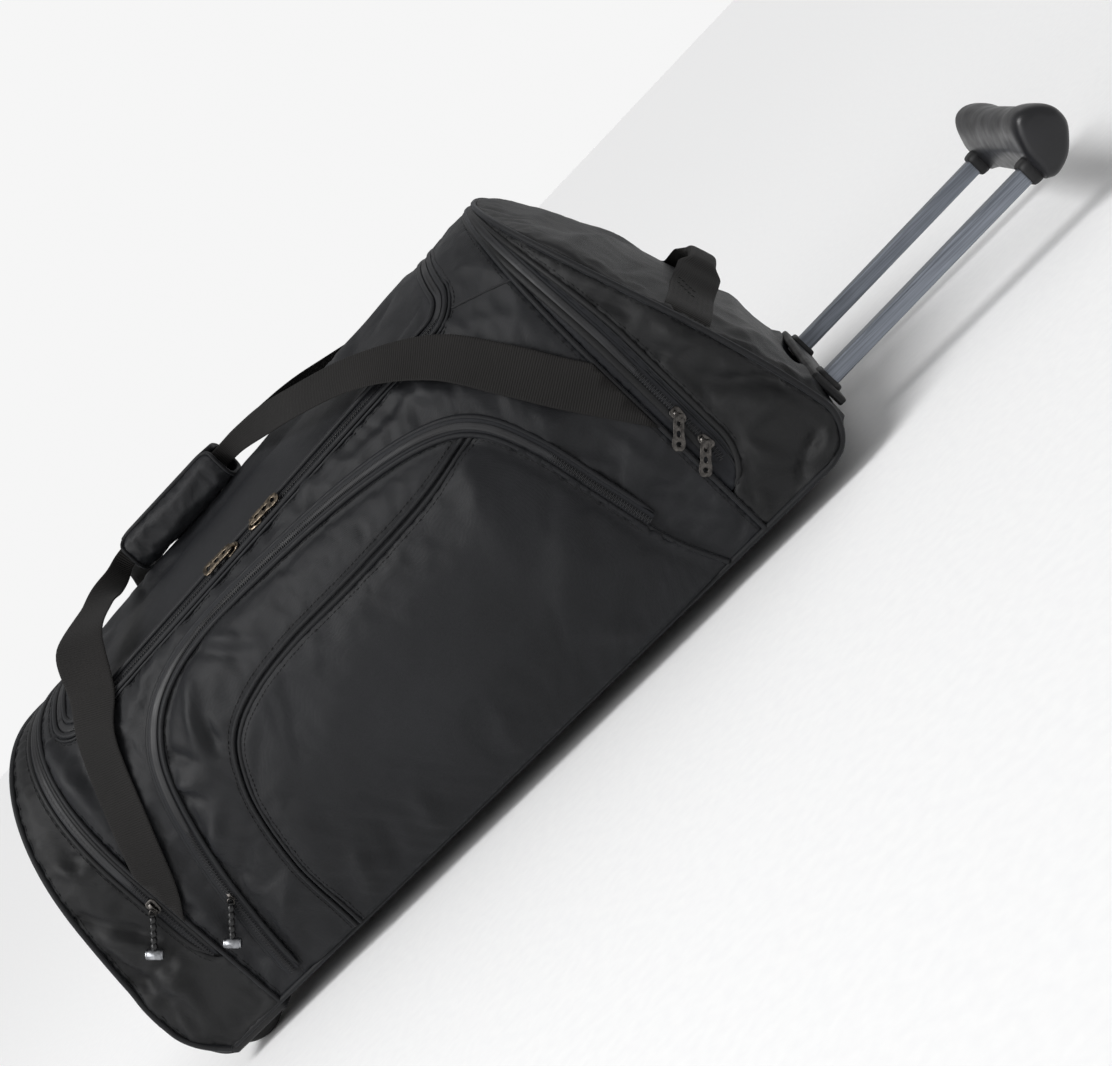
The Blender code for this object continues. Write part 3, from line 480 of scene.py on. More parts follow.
def threads(tree, pitch):
    """Height of crossed threads, from ridges along each of the piece's axes."""
    place = node(tree, "ShaderNodeSeparateXYZ",
                 {0: node(tree, "ShaderNodeTexCoord").outputs["Object"]})
    total = None
    for axis in "XYZ":
        wave = maths(tree, "SINE", maths(tree, "MULTIPLY", place.outputs[axis], math.pi / pitch))
        ridge = maths(tree, "ABSOLUTE", wave)
        total = ridge if total is None else maths(tree, "ADD", total, ridge)
    return total


def fabric(name, dark, light, pitch=0.0009, roughness=(0.42, 0.56), sheen=0.02):
    """Close woven polyester: threads, a slight grain, soft blotches, and worn ridges."""
    material, tree, shader = new_material(name)
    blotches = noise_at(tree, 9.0, 4.0)
    grain = noise_at(tree, 900.0, 2.0)
    mixed = maths(tree, "ADD", maths(tree, "MULTIPLY", blotches, 0.65), maths(tree, "MULTIPLY", grain, 0.35))
    pointed = node(tree, "ShaderNodeNewGeometry").outputs["Pointiness"]
    factor = maths(tree, "ADD", ramp(tree, mixed, 0.0, 1.0), ramp(tree, pointed, 0.0, 0.5, 0.52, 0.60))
    height = maths(tree, "ADD", threads(tree, pitch), maths(tree, "MULTIPLY", grain, 0.8))
    weave = bumped(tree, height, 0.25, 0.0003)
    feed(tree, shader, {"Base Color": tinted(tree, factor, dark, light),
                        "Roughness": ramp(tree, blotches, *roughness),
                        "Sheen Weight": sheen, "Sheen Roughness": 0.45, "Sheen Tint": (0.75, 0.80, 0.90, 1),
                        "Specular IOR Level": 0.22,
                        "Normal": bumped(tree, noise_at(tree, 55.0), 0.25, 0.002, Normal=weave)})
    return material


def webbing_material(name, dark, light, rib=0.0019, cord=0.0042):
    """Ribbed webbing: ribs run across it, from the run and across values stored on its points."""
    material, tree, shader = new_material(name)
    run, across = (node(tree, "ShaderNodeAttribute", attribute_name=key).outputs["Fac"]
                   for key in ("run", "across"))
    ribs = maths(tree, "SINE", maths(tree, "MULTIPLY", run, math.tau / rib))
    cords = maths(tree, "SINE", maths(tree, "MULTIPLY", across, math.tau / cord))
    weave = maths(tree, "MULTIPLY", ribs, ramp(tree, cords, 0.55, 1.0, -1.0, 1.0))
    fuzz = maths(tree, "MULTIPLY", noise_at(tree, 700.0, 2.0), 1.2)
    blotches = ramp(tree, noise_at(tree, 14.0), 0.0, 1.0)
    feed(tree, shader, {"Base Color": tinted(tree, blotches, dark, light), "Roughness": 0.74,
                        "Specular IOR Level": 0.22, "Sheen Weight": 0.03, "Sheen Roughness": 0.5,
                        "Normal": bumped(tree, maths(tree, "ADD", weave, fuzz), 0.5, 0.0004)})
    return material


def moulded(name, dark, light, roughness=0.45, grain=1400.0, bump=0.12):
    """Moulded plastic or rubber with a fine spark-eroded grain and slight scuffs."""
    material, tree, shader = new_material(name)
    blotches = ramp(tree, noise_at(tree, 30.0, 4.0), 0.0, 1.0)
    scuffs = ramp(tree, noise_at(tree, 60.0, 4.0), roughness - 0.07, roughness + 0.10)
    feed(tree, shader, {"Base Color": tinted(tree, blotches, dark, light), "Roughness": scuffs,
                        "Specular IOR Level": 0.40,
                        "Normal": bumped(tree, noise_at(tree, grain, 2.0), bump, 0.0002)})
    return material


def metal(name, dark, light, roughness=0.30, stretch=(1.0, 1.0, 1.0), streak=300.0, metallic=1.0):
    """Metal with fine streaks, drawn out along an axis by stretch, and handling marks."""
    material, tree, shader = new_material(name)
    place = node(tree, "ShaderNodeTexCoord").outputs["Object"]
    drawn = node(tree, "ShaderNodeVectorMath", {0: place, 1: stretch}, operation="MULTIPLY").outputs[0]
    streaks = noise_at(tree, streak, 3.0, drawn)
    marks = ramp(tree, noise_at(tree, 35.0, 5.0), roughness - 0.06, roughness + 0.08)
    feed(tree, shader, {"Base Color": tinted(tree, ramp(tree, streaks, 0.0, 1.0), dark, light),
                        "Roughness": maths(tree, "ADD", marks, ramp(tree, streaks, -0.03, 0.05)),
                        "Metallic": metallic, "Normal": bumped(tree, streaks, 0.10, 0.0001)})
    return material


SHELL = fabric("shell_fabric", (0.0060, 0.0063, 0.0073), (0.0138, 0.0143, 0.0162))
SIDE_CLOTH = fabric("end_pocket_fabric", (0.0056, 0.0057, 0.0061), (0.0126, 0.0128, 0.0134))
TRIM = fabric("binding_fabric", (0.0050, 0.0052, 0.0058), (0.0125, 0.0128, 0.0140),
              0.0007, (0.50, 0.62), 0.08)
TAPE = fabric("zip_tape_fabric", (0.0048, 0.0051, 0.0064), (0.0105, 0.0114, 0.0142),
              0.0006, (0.44, 0.56), 0.08)
LINING = fabric("lining_fabric", (0.022, 0.023, 0.026), (0.038, 0.040, 0.044), 0.0008, (0.45, 0.6), 0.1)
THREAD = fabric("thread", (0.0060, 0.0060, 0.0064), (0.0120, 0.0120, 0.0126), 0.0004, (0.40, 0.5), 0.05)
WEBBING = webbing_material("webbing", (0.0056, 0.0051, 0.0048), (0.0102, 0.0092, 0.0087))
COIL = moulded("nylon_coil", (0.0060, 0.0060, 0.0070), (0.0130, 0.0135, 0.0155), 0.50)
PLASTIC = moulded("moulded_plastic", (0.0056, 0.0056, 0.0062), (0.0110, 0.0110, 0.0120), 0.52)
SOFT_PLASTIC = moulded("grip_plastic", (0.0080, 0.0080, 0.0092), (0.0150, 0.0150, 0.0170), 0.36, 500.0, 0.04)
CORD = moulded("pull_cord", (0.0045, 0.0045, 0.0048), (0.0090, 0.0090, 0.0095), 0.30)
RUBBER = moulded("tyre_rubber", (0.0100, 0.0100, 0.0100), (0.0220, 0.0220, 0.0215), 0.70, 700.0, 0.3)
BOARD = moulded("stiff_board", (0.030, 0.030, 0.030), (0.046, 0.046, 0.046), 0.6, 300.0, 0.3)
BRASS = metal("antique_metal", (0.040, 0.035, 0.029), (0.24, 0.195, 0.145), 0.26)
GUNMETAL = metal("gunmetal", (0.030, 0.029, 0.028), (0.110, 0.102, 0.095), 0.24)
SILVER = metal("bright_metal", (0.20, 0.205, 0.215), (0.40, 0.41, 0.43), 0.30)
STEEL = metal("zinc_plate", (0.35, 0.35, 0.36), (0.58, 0.58, 0.60), 0.38)
ANODISED = metal("anodised_rail", (0.155, 0.170, 0.198), (0.275, 0.298, 0.340), 0.36,
                 (0.02, 1.0, 1.0), 900.0, 0.9)


# ---- meshes -------------------------------------------------------------------------------
def linked(name, data):
    """A new object in the scene."""
    thing = bpy.data.objects.new(name, data)
    bpy.context.scene.collection.objects.link(thing)
    return thing


def piece(name, points, faces, material, body, slot, nodes=(), smooth=True, placed=False, attributes=None):
    """A mesh object riding on a CAD body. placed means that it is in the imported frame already."""
    points = np.asarray(points, float)
    if not placed:
        points = points + SHIFT
    mesh = bpy.data.meshes.new(name)
    mesh.from_pydata(points.tolist(), [], faces)
    mesh.validate()
    for key, values in (attributes or {}).items():
        layer = mesh.attributes.new(key, "FLOAT", "POINT")
        layer.data.foreach_set("value", np.asarray(values, np.float32))
    if smooth:
        mesh.shade_smooth()
        mesh.set_sharp_from_angle(angle=math.radians(50))
    mesh.materials.append(material)
    thing = linked(name, mesh)
    if body:
        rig.ride(thing, body)
    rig.slot(thing, slot)
    if nodes:
        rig.replaces(thing, *nodes)
    return thing


def ellipse(width, height, sides=10):
    angle = circle(sides)
    return columns(np.cos(angle) * width / 2, np.sin(angle) * height / 2)


def rounded_bar(width, height, sides=16, power=0.35):
    """A flat section with rounded edges, for webbing and tapes."""
    c, s = np.cos(circle(sides)), np.sin(circle(sides))
    return columns(np.sign(c) * np.abs(c) ** power * width / 2, np.sign(s) * np.abs(s) ** (power * 2) * height / 2)


def tube_faces(count, sides, loop=False):
    """Faces round a row of rings, which closes on itself or has an end cap at each end."""
    faces = []
    for i in range(count if loop else count - 1):
        a, b = i * sides, ((i + 1) % count) * sides
        faces += [(a + k, a + (k + 1) % sides, b + (k + 1) % sides, b + k) for k in range(sides)]
    if not loop:
        faces += [tuple(range(sides))[::-1], tuple((count - 1) * sides + k for k in range(sides))]
    return faces


def sweep(path, normals, section, widths=1.0, heights=1.0, loop=False):
    """A section carried along a path; its first value lies across, and its second along the normal."""
    path = np.asarray(path, float)
    count, sides = len(path), len(section)
    step = np.roll(path, -1, axis=0) - np.roll(path, 1, axis=0) if loop else np.gradient(path, axis=0)
    tangent = unit(step)
    across = unit(np.cross(tangent, np.broadcast_to(normals, path.shape)))
    up = np.cross(across, tangent)
    widths = np.broadcast_to(widths, (count,))[:, None, None]
    heights = np.broadcast_to(heights, (count,))[:, None, None]
    rings = (path[:, None, :] + across[:, None, :] * section[None, :, 0, None] * widths
             + up[:, None, :] * section[None, :, 1, None] * heights)
    return rings.reshape(-1, 3), tube_faces(count, sides, loop)


def merged(parts):
    points, faces, start = [], [], 0
    for some, polygons in parts:
        points.append(some)
        faces += [tuple(k + start for k in polygon) for polygon in polygons]
        start += len(some)
    return np.vstack(points), faces


def scattered(template, places, headings, normals):
    """Copies of a small template, its x along each heading and its z along each normal."""
    points, faces = template
    points = np.asarray(points, float)
    x_axis = unit(headings)
    z_axis = unit(normals - (normals * x_axis).sum(1, keepdims=True) * x_axis)
    y_axis = np.cross(z_axis, x_axis)
    where = (places[:, None, :] + x_axis[:, None, :] * points[None, :, 0, None]
             + y_axis[:, None, :] * points[None, :, 1, None] + z_axis[:, None, :] * points[None, :, 2, None])
    count = len(points)
    every = [tuple(k + i * count for k in face) for i in range(len(places)) for face in faces]
    return where.reshape(-1, 3), every


def capsule(length, width, height):
    """A small rounded bar along x, for stitches and coil teeth."""
    stops = np.array([[-0.5, 0, 0], [-0.36, 0, 0], [0, 0, 0], [0.36, 0, 0], [0.5, 0, 0]]) * length
    sizes = np.array([0.45, 0.92, 1.0, 0.92, 0.45])
    return sweep(stops, (0, 0, 1), ellipse(width, height, 6), sizes, sizes)


STITCH = capsule(0.0029, 0.0009, 0.0008)
TOOTH_PITCH = 0.00125           # distance from one tooth of a zip to the next
TOOTH_OFFSET = 0.0007           # of the two rows of teeth, each way from the zip's middle
TOOTH_RISE = 0.0008             # of the teeth, above the tape
TOOTH_POINTS, TOOTH_FACES = capsule(0.0042, 0.00125, 0.0013)
TOOTH = (TOOTH_POINTS[:, [1, 0, 2]], [face[::-1] for face in TOOTH_FACES])


def cord_piece(name, path, normals, radius):
    points, faces = sweep(path, normals, ellipse(2 * radius, 2 * radius))
    piece(name, points, faces, TRIM, "bag", "shell_fabric")


def piping(name, flat, radius=PIPING, out=0.0006):
    """Covered cord along a flat path on the body."""
    cord_piece(name, *lifted(resample(flat), out), radius)


def read(vertices, key):
    """Places or normals of a mesh's vertices, as an array."""
    values = np.zeros(len(vertices) * 3)
    vertices.foreach_get(key, values)
    return values.reshape(-1, 3)


class Panel:
    """A sewn panel, cut in the flat and mapped onto the bag; its cloth is settled later."""

    waiting = []
    ROOM = 0.62                 # least distance of an inner vertex from the edges, in grains
    EDGE_FADE = 0.011           # the folds rise over this distance from a seam

    def __init__(self, name, outline, place, body, nodes=(), lines=(), holes=(), still=(), folds=(),
                 growth=0.018, pressure=0.6, cap=0.005, material=SHELL, slot="shell_fabric", grain=GRAIN,
                 crumple=0.0008, blend=None, calm=()):
        self.body, self.folds, self.cap, self.crumple = body, folds, cap, crumple
        self.growth, self.pressure, self.blend, self.calm = growth, pressure, blend, calm
        edges, points = [], []
        for path, ring in [(path, True) for path in (outline, *holes)] + [(path, False) for path in lines]:
            path = resample(closed(np.asarray(path, float)) if ring else path, grain)
            start, count = len(points), len(path) - 1
            wrap = count if ring else count + 1
            points += path[:wrap].tolist()
            edges += [(start + k, start + (k + 1) % wrap) for k in range(count)]
        fixed = len(points)
        low, high = np.min(outline, axis=0), np.max(outline, axis=0)
        rows = np.arange(low[1], high[1], grain * math.sqrt(3) / 2)
        lattice = np.array([(x + (k % 2) * grain / 2, y) for k, y in enumerate(rows)
                            for x in np.arange(low[0], high[0], grain)])
        lattice = lattice[within(lattice, outline, holes)]
        points += lattice[nearest_distance(lattice, points) > self.ROOM * grain].tolist()
        cut = delaunay_2d_cdt([Vector(p) for p in points], edges, [], 0, 1e-7)
        flat = np.array([tuple(p) for p in cut[0]])
        faces = np.array([tuple(f) for f in cut[2]])
        faces = faces[within(flat[faces].mean(axis=1), outline, holes)]
        used, index = np.unique(faces, return_inverse=True)
        faces = index.reshape(-1, 3)
        self.flat = flat[used]
        pins = np.array([any(k < fixed for k in cut[3][v]) for v in used])
        for polygon in still:
            pins |= inside(self.flat, polygon)
        self.pins = pins
        self.rest = place(self.flat)
        corner = self.rest[faces]
        facing = np.cross(corner[:, 1] - corner[:, 0], corner[:, 2] - corner[:, 0])
        if (facing * (corner.mean(axis=1) - MIDDLE)).sum() < 0:
            faces = faces[:, ::-1]
        self.faces = faces
        self.thing = piece(name, self.rest, faces.tolist(), material, None, slot, nodes, smooth=False)
        self.thing.data.shade_smooth()
        Panel.waiting.append(self)

    def hang_cloth(self):
        """Gives the panel a little more cloth than its seams enclose, and some pressure from inside."""
        group = self.thing.vertex_groups.new(name="pins")
        group.add([int(k) for k in np.nonzero(self.pins)[0]], 1.0, "ADD")
        cloth = self.thing.modifiers.new("cloth", "CLOTH").settings
        for key, value in {"vertex_group_mass": "pins", "quality": 6, "mass": 0.2, "tension_stiffness": 20,
                           "compression_stiffness": 20, "shear_stiffness": 8, "bending_stiffness": 0.25,
                           "shrink_min": -self.growth, "use_pressure": True,
                           "uniform_pressure_force": self.pressure}.items():
            setattr(cloth, key, value)
        cloth.effector_weights.gravity = 0.0

    def finish(self, settled):
        """Takes the settled shape, within the cap, adds authored folds, and gives it thickness."""
        world = self.rest + SHIFT
        moved = np.zeros_like(world) if settled is None else settled - world
        length = np.linalg.norm(moved, axis=1, keepdims=True)
        moved *= np.minimum(1.0, self.cap / np.maximum(length, 1e-9))
        normals = read(self.thing.data.vertices, "normal")
        free = ease(nearest_distance(self.flat, self.flat[self.pins]) / self.EDGE_FADE)
        rise = np.zeros(len(world))
        for start, end, width, height in self.folds:
            a, b = np.array(start), np.array(end)
            along = np.clip(((self.flat - a) @ (b - a)) / ((b - a) @ (b - a)), 0, 1)
            apart = np.linalg.norm(self.flat - a - along[:, None] * (b - a), axis=1)
            fade = np.sin(np.pi * np.clip(along, 0.04, 0.96)) ** 0.6
            rise += FOLD_DEPTH * height * np.exp(-(apart / width) ** 2) * fade
        rise += self.crumple * np.array([noise.noise(Vector(p) * 24.0) + 0.5 * noise.noise(Vector(p) * 58.0)
                                         for p in world])
        quiet = np.ones(len(world))
        for line, radius in self.calm:
            quiet = np.minimum(quiet, ease(distance_to(self.flat, line) / radius - 0.3))
        world = world + moved * quiet[:, None] + normals * (rise * free * quiet)[:, None]
        self.thing.data.vertices.foreach_set("co", world.ravel())
        self.thing.data.update()
        self.tree = BVHTree.FromPolygons(world.tolist(), self.faces.tolist())
        if self.blend:
            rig.blend(self.thing, *self.blend)
        else:
            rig.ride(self.thing, self.body)
        shell = self.thing.modifiers.new("thickness", "SOLIDIFY")
        shell.thickness = CLOTH
        shell.offset = -1.0

    def touch(self, points):
        """The nearest places on the panel, and its normals there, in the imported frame."""
        places, normals = [], []
        for point in points:
            where, normal, _, _ = self.tree.find_nearest(Vector(point))
            places.append(where)
            normals.append(normal)
        return np.array(places), np.array(normals)

    @classmethod
    def settle_all(cls):
        """Runs the cloth of every waiting panel at once."""
        scene = bpy.context.scene
        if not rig.quick():
            for panel in cls.waiting:
                panel.hang_cloth()
            for step in range(1, CLOTH_STEPS + 1):
                scene.frame_set(step)
        graph = bpy.context.evaluated_depsgraph_get()
        for panel in cls.waiting:
            settled = None
            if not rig.quick():
                settled = read(panel.thing.evaluated_get(graph).data.vertices, "co")
            panel.settled = settled
        for panel in cls.waiting:
            panel.thing.modifiers.clear()
            panel.finish(panel.settled)
        scene.frame_set(1)
        cls.waiting = []


def stitching(name, flat, panel, place=None, pitch=0.0042):
    """A row of stitches along a flat path, pressed onto the panel that it holds."""
    flat = resample(flat, pitch)
    points = (place or on_skin)(flat) + SHIFT
    places, normals = panel.touch(points)
    middles = (places[1:] + places[:-1]) / 2
    headings = places[1:] - places[:-1]
    facing = unit(normals[1:] + normals[:-1])
    points, faces = scattered(STITCH, middles + facing * 0.0002, headings, facing)
    piece(name, points, faces, THREAD, "bag", "shell_fabric", placed=True)


def zip_run(name, path, normals, nodes=(), tape=0.0125):
    """A closed coil zip along a path: its tape, and two rows of teeth that mesh."""
    points, faces = sweep(path - normals * 0.0002, normals, rounded_bar(tape, 0.0010, 12))
    piece(f"{name}_tape", points, faces, TAPE, "bag", "zip_tape", nodes)
    middle = resample(np.hstack([path, normals]), TOOTH_PITCH)
    where, up = middle[:, :3], unit(middle[:, 3:])
    heading = unit(np.gradient(where, axis=0))
    across = np.cross(up, heading)
    side = np.where(np.arange(len(where)) % 2 == 0, TOOTH_OFFSET, -TOOTH_OFFSET)[:, None]
    points, faces = scattered(TOOTH, where + across * side + up * TOOTH_RISE, heading, up)
    piece(f"{name}_coil", points, faces, COIL, "bag", "zip_tape")


def hem(name, flat, body, width=0.0050, height=0.0030, out=0.0008, material=SHELL):
    """A folded fabric edge beside a zip, which dies away and sinks in at its ends."""
    path, normals = lifted(resample(flat), out)
    run = np.arange(len(path)) * STEP
    taper, sink = 0.014, 0.0012
    fade = ease(np.minimum(run, run[-1] - run) / taper)
    points, faces = sweep(path - normals * (sink * (1 - fade))[:, None], normals, ellipse(width, height),
                          0.35 + 0.65 * fade, 0.2 + 0.8 * fade)
    piece(name, points, faces, material, body, "shell_fabric")


# ---- main body ----------------------------------------------------------------------------
def lid_edge(grow, front_s, radius):
    """A path round three sides of the lid: wheel end, front, handle end, its corners rounded."""
    low, high, back = LID_X[0] - grow, LID_X[1] + grow, s_at(LID_DEGREES[1])
    corner = quarter(radius, 9)
    first = [low + radius, front_s + radius] - corner
    second = [high - radius, front_s + radius] + corner[:, ::-1] * [1, -1]
    return np.vstack([[(low, back)], first, second, [(high, back)]])


LID_EDGE = lid_edge(0.0008, s_at(ZIP_DEGREES[2]) - 0.0006, 0.016)
LID_ZIP = lid_edge(0.0056, s_at(ZIP_DEGREES[1]), 0.022)
LID_HOLE = lid_edge(0.0106, s_at(ZIP_DEGREES[0]) + 0.0012, 0.028)

# The arched pocket: its sewn edge, and the padded panel's edge inside it, from x and height.
OUTER_ARCH = curve_through([
    (-0.250, 0.022), (-0.2425, 0.073), (-0.2285, 0.135), (-0.206, 0.198), (-0.184, 0.234),
    (-0.150, 0.257), (-0.095, 0.267), (0.0, 0.265), (0.080, 0.258), (0.138, 0.245),
    (0.171, 0.224), (0.189, 0.185), (0.200, 0.130), (0.213, 0.066), (0.231, 0.022)])
INNER_ARCH = curve_through([
    (0.166, 0.2285), (0.111, 0.218), (0.030, 0.2145), (-0.042, 0.2145), (-0.093, 0.209),
    (-0.128, 0.196), (-0.150, 0.172), (-0.165, 0.140), (-0.177, 0.090), (-0.184, 0.022)])
for outline in (OUTER_ARCH, INNER_ARCH):
    outline[:, 1] = s_at_height(outline[:, 1], outline[:, 0])
ARCH_END = int(np.argmin(np.linalg.norm(OUTER_ARCH - INNER_ARCH[0], axis=1)))
PADDED_PANEL = np.vstack([INNER_ARCH, OUTER_ARCH[:ARCH_END:-1]])
POCKET_ZIP_SPAN = (0.031, 0.088)      # heights of its two lower ends, at the wheel and handle end

# Where the carry straps lie on the front panel: x and height along each leg.
STRAP_LEG_HANDLE = [(0.2760, 0.1530), (0.2420, 0.2040), (0.2190, 0.2400), (0.1850, 0.2820)]
STRAP_LEG_WHEEL = [(-0.2275, 0.2640), (-0.2540, 0.2000), (-0.2760, 0.1550), (-0.2905, 0.1280)]


def leg_print(leg, half=0.017):
    """The part of the panel that a strap's leg holds down."""
    flat = np.array([(x, float(s_at_height(z, x))) for x, z in leg])
    return np.vstack([beside(flat, half), beside(flat, -half)[::-1]])


def mirrored(flat):
    """A flat shape of the front side, on the back side."""
    return columns(flat[:, 0], GIRTH - flat[:, 1])


def on_skin(flat):
    return skin(flat[:, 0], flat[:, 1])


def build_body():
    outline = np.array([(SEAM_WHEEL, 0.0), (SEAM_HANDLE, 0.0), (SEAM_HANDLE, GIRTH), (SEAM_WHEEL, GIRTH)])
    prints = [leg_print(STRAP_LEG_HANDLE), leg_print(STRAP_LEG_WHEEL)]
    yoke = [(LID_HOLE[-3, 0] - 0.002, float(s_at(46.0))), (SEAM_HANDLE, float(s_at_height(0.277)))]
    folds = [((-0.272, 0.075), (-0.252, 0.215), 0.009, 0.0030),
             ((-0.276, 0.030), (-0.250, 0.100), 0.007, -0.0024),
             ((-0.275, 0.300), (-0.262, 0.205), 0.010, 0.0045),
             ((-0.250, 0.262), (-0.258, 0.205), 0.006, -0.0035),
             ((-0.237, 0.309), (-0.270, 0.300), 0.0030, 0.0022),
             ((-0.270, 0.300), (-0.281, 0.286), 0.0030, 0.0022),
             ((-0.120, 0.275), (-0.175, 0.262), 0.009, 0.0026),
             ((-0.145, 0.268), (-0.205, 0.235), 0.007, -0.0022),
             ((0.236, 0.150), (0.246, 0.075), 0.007, 0.0026), ((0.201, 0.150), (0.224, 0.108), 0.006, 0.0024),
             ((0.224, 0.089), (0.252, 0.060), 0.006, -0.0030), ((0.232, 0.052), (0.262, 0.020), 0.007, 0.0028),
             ((0.205, 0.195), (0.226, 0.140), 0.008, 0.0022), ((0.150, 0.262), (0.190, 0.232), 0.009, 0.0030),
             ((0.060, 0.270), (0.150, 0.262), 0.006, -0.0020), ((0.010, 0.280), (0.100, 0.268), 0.007, 0.0018),
             ((0.150, GIRTH - 0.060), (-0.050, GIRTH - 0.120), 0.020, 0.0034),
             ((-0.230, GIRTH - 0.030), (-0.120, GIRTH - 0.130), 0.016, 0.0030),
             ((-0.200, GIRTH - 0.200), (-0.060, GIRTH - 0.170), 0.014, -0.0026),
             ((0.240, GIRTH - 0.040), (0.170, GIRTH - 0.170), 0.013, -0.0030),
             ((0.060, GIRTH - 0.030), (0.020, GIRTH - 0.110), 0.014, 0.0026)]
    shell = Panel("body_shell", outline, on_skin, "bag",
                  ("side_panel_front", "side_panel_back", "top_yoke_wheel_end", "top_yoke_handle_end"),
                  lines=[yoke], holes=[LID_HOLE], still=[OUTER_ARCH, *prints, *map(mirrored, prints)],
                  folds=folds)
    hinge = skin(0.0, s_at(LID_DEGREES[1])) + SHIFT
    forward = skin(0.0, s_at(LID_DEGREES[1]) - 0.022) + SHIFT
    Panel("top_lid_cloth", LID_EDGE, on_skin, "lid", ("top_lid",), pressure=0.35, growth=0.014,
          blend=("bag", "lid", hinge, forward),
          folds=[((-0.235, 0.36), (-0.10, 0.42), 0.012, 0.0016), ((0.195, 0.34), (0.08, 0.41), 0.012, 0.0016)])
    end = float(handle_end_x(BASE_Z))
    start = SEAM_WHEEL - 0.0012
    base = np.array([(start, -HALF), (end, -HALF), (end, HALF), (start, HALF)])
    Panel("base_cloth", base, lambda f: columns(f[:, 0], f[:, 1], BASE_Z), "bag",
          ("base_panel",), pressure=0.0, growth=0.004, cap=0.001, crumple=0.0003, grain=0.008)
    piping("yoke_seam", yoke, radius=0.0011, out=0.0)
    return shell


def pocket_out(flat):
    """How far the arched pocket stands out from the panel behind it."""
    edge = distance_to(flat, OUTER_ARCH)
    inner = distance_to(flat, INNER_ARCH)
    out = 0.0028 + 0.0135 * (1 - np.exp(-np.maximum(edge - 0.0085, 0) / 0.022))
    out += np.where(inside(flat, PADDED_PANEL), 0.0032 * (1 - np.exp(-inner / 0.009)), 0.0)
    out -= 0.0022 * np.exp(-(inner / 0.0045) ** 2)
    return out * (0.42 + 0.58 * ease(flat[:, 1] / 0.075))


def pocket_place(flat):
    return lifted(flat, pocket_out(flat))[0]


def pocket_zip_path():
    """The flat path of the pocket's zip, round the arch from its lower wheel-end corner."""
    ends = [int(np.argmin(np.abs(OUTER_ARCH[:, 1] - s_at_height(z)) + (np.sign(OUTER_ARCH[:, 0]) != side)))
            for z, side in zip(POCKET_ZIP_SPAN, (-1, 1))]
    return beside(OUTER_ARCH[ends[0]:ends[1] + 1], 0.0045)


def build_pocket():
    folds = [((-0.188, 0.208), (-0.169, 0.186), 0.0055, -0.0042),
             ((-0.204, 0.188), (-0.178, 0.170), 0.0050, 0.0036),
             ((-0.206, 0.180), (-0.186, 0.158), 0.0045, -0.0030),
             ((-0.124, 0.235), (-0.160, 0.190), 0.0060, 0.0036),
             ((-0.104, 0.250), (-0.061, 0.212), 0.0050, 0.0024),
             ((-0.112, 0.244), (-0.072, 0.208), 0.0045, -0.0022),
             ((-0.136, 0.214), (-0.150, 0.178), 0.0055, -0.0034),
             ((-0.222, 0.120), (-0.186, 0.150), 0.0060, 0.0034),
             ((-0.228, 0.092), (-0.190, 0.112), 0.0055, -0.0028),
             ((-0.230, 0.045), (-0.194, 0.066), 0.0060, 0.0026),
             ((-0.206, 0.140), (-0.186, 0.105), 0.0060, 0.0026),
             ((0.150, 0.205), (0.120, 0.120), 0.014, 0.0026),
             ((0.186, 0.120), (0.110, 0.060), 0.016, 0.0026),
             ((-0.129, 0.054), (-0.158, 0.012), 0.0075, 0.0034),
             ((-0.100, 0.050), (-0.122, 0.012), 0.0075, -0.0028),
             ((-0.060, 0.056), (-0.080, 0.012), 0.0085, 0.0028),
             ((0.030, 0.050), (0.010, 0.010), 0.0090, 0.0024),
             ((0.120, 0.045), (0.150, 0.010), 0.0090, 0.0026)]
    pocket = Panel("front_pocket_cloth", OUTER_ARCH, pocket_place, "bag", ("front_pocket",), lines=[INNER_ARCH],
                   folds=folds, growth=0.009, pressure=0.9, cap=0.0034, grain=0.0042, crumple=0.0006,
                   calm=[(pocket_zip_path(), 0.011)])
    for name, offset in (("outer", 0.0026), ("inner", -0.0026)):
        flat = resample(beside(INNER_ARCH, offset))
        cord_piece(f"padded_panel_piping_{name}", *lifted(flat, pocket_out(flat) + 0.0010), 0.00185)
    zip_path = resample(pocket_zip_path())
    zip_run("front_pocket_zip", *lifted(zip_path, 0.0038), tape=0.0118)
    hem("front_pocket_hem_outer", beside(zip_path, 0.0065), "bag", 0.0046, 0.0042, 0.0020)
    hem("front_pocket_hem_inner", beside(zip_path, -0.0064), "bag", 0.0046, 0.0042, 0.0040)
    whole = resample(OUTER_ARCH)
    piping("front_pocket_edge_handle_end", whole[whole[:, 0] > 0.10][-20:], radius=0.0020, out=0.0022)
    return pocket


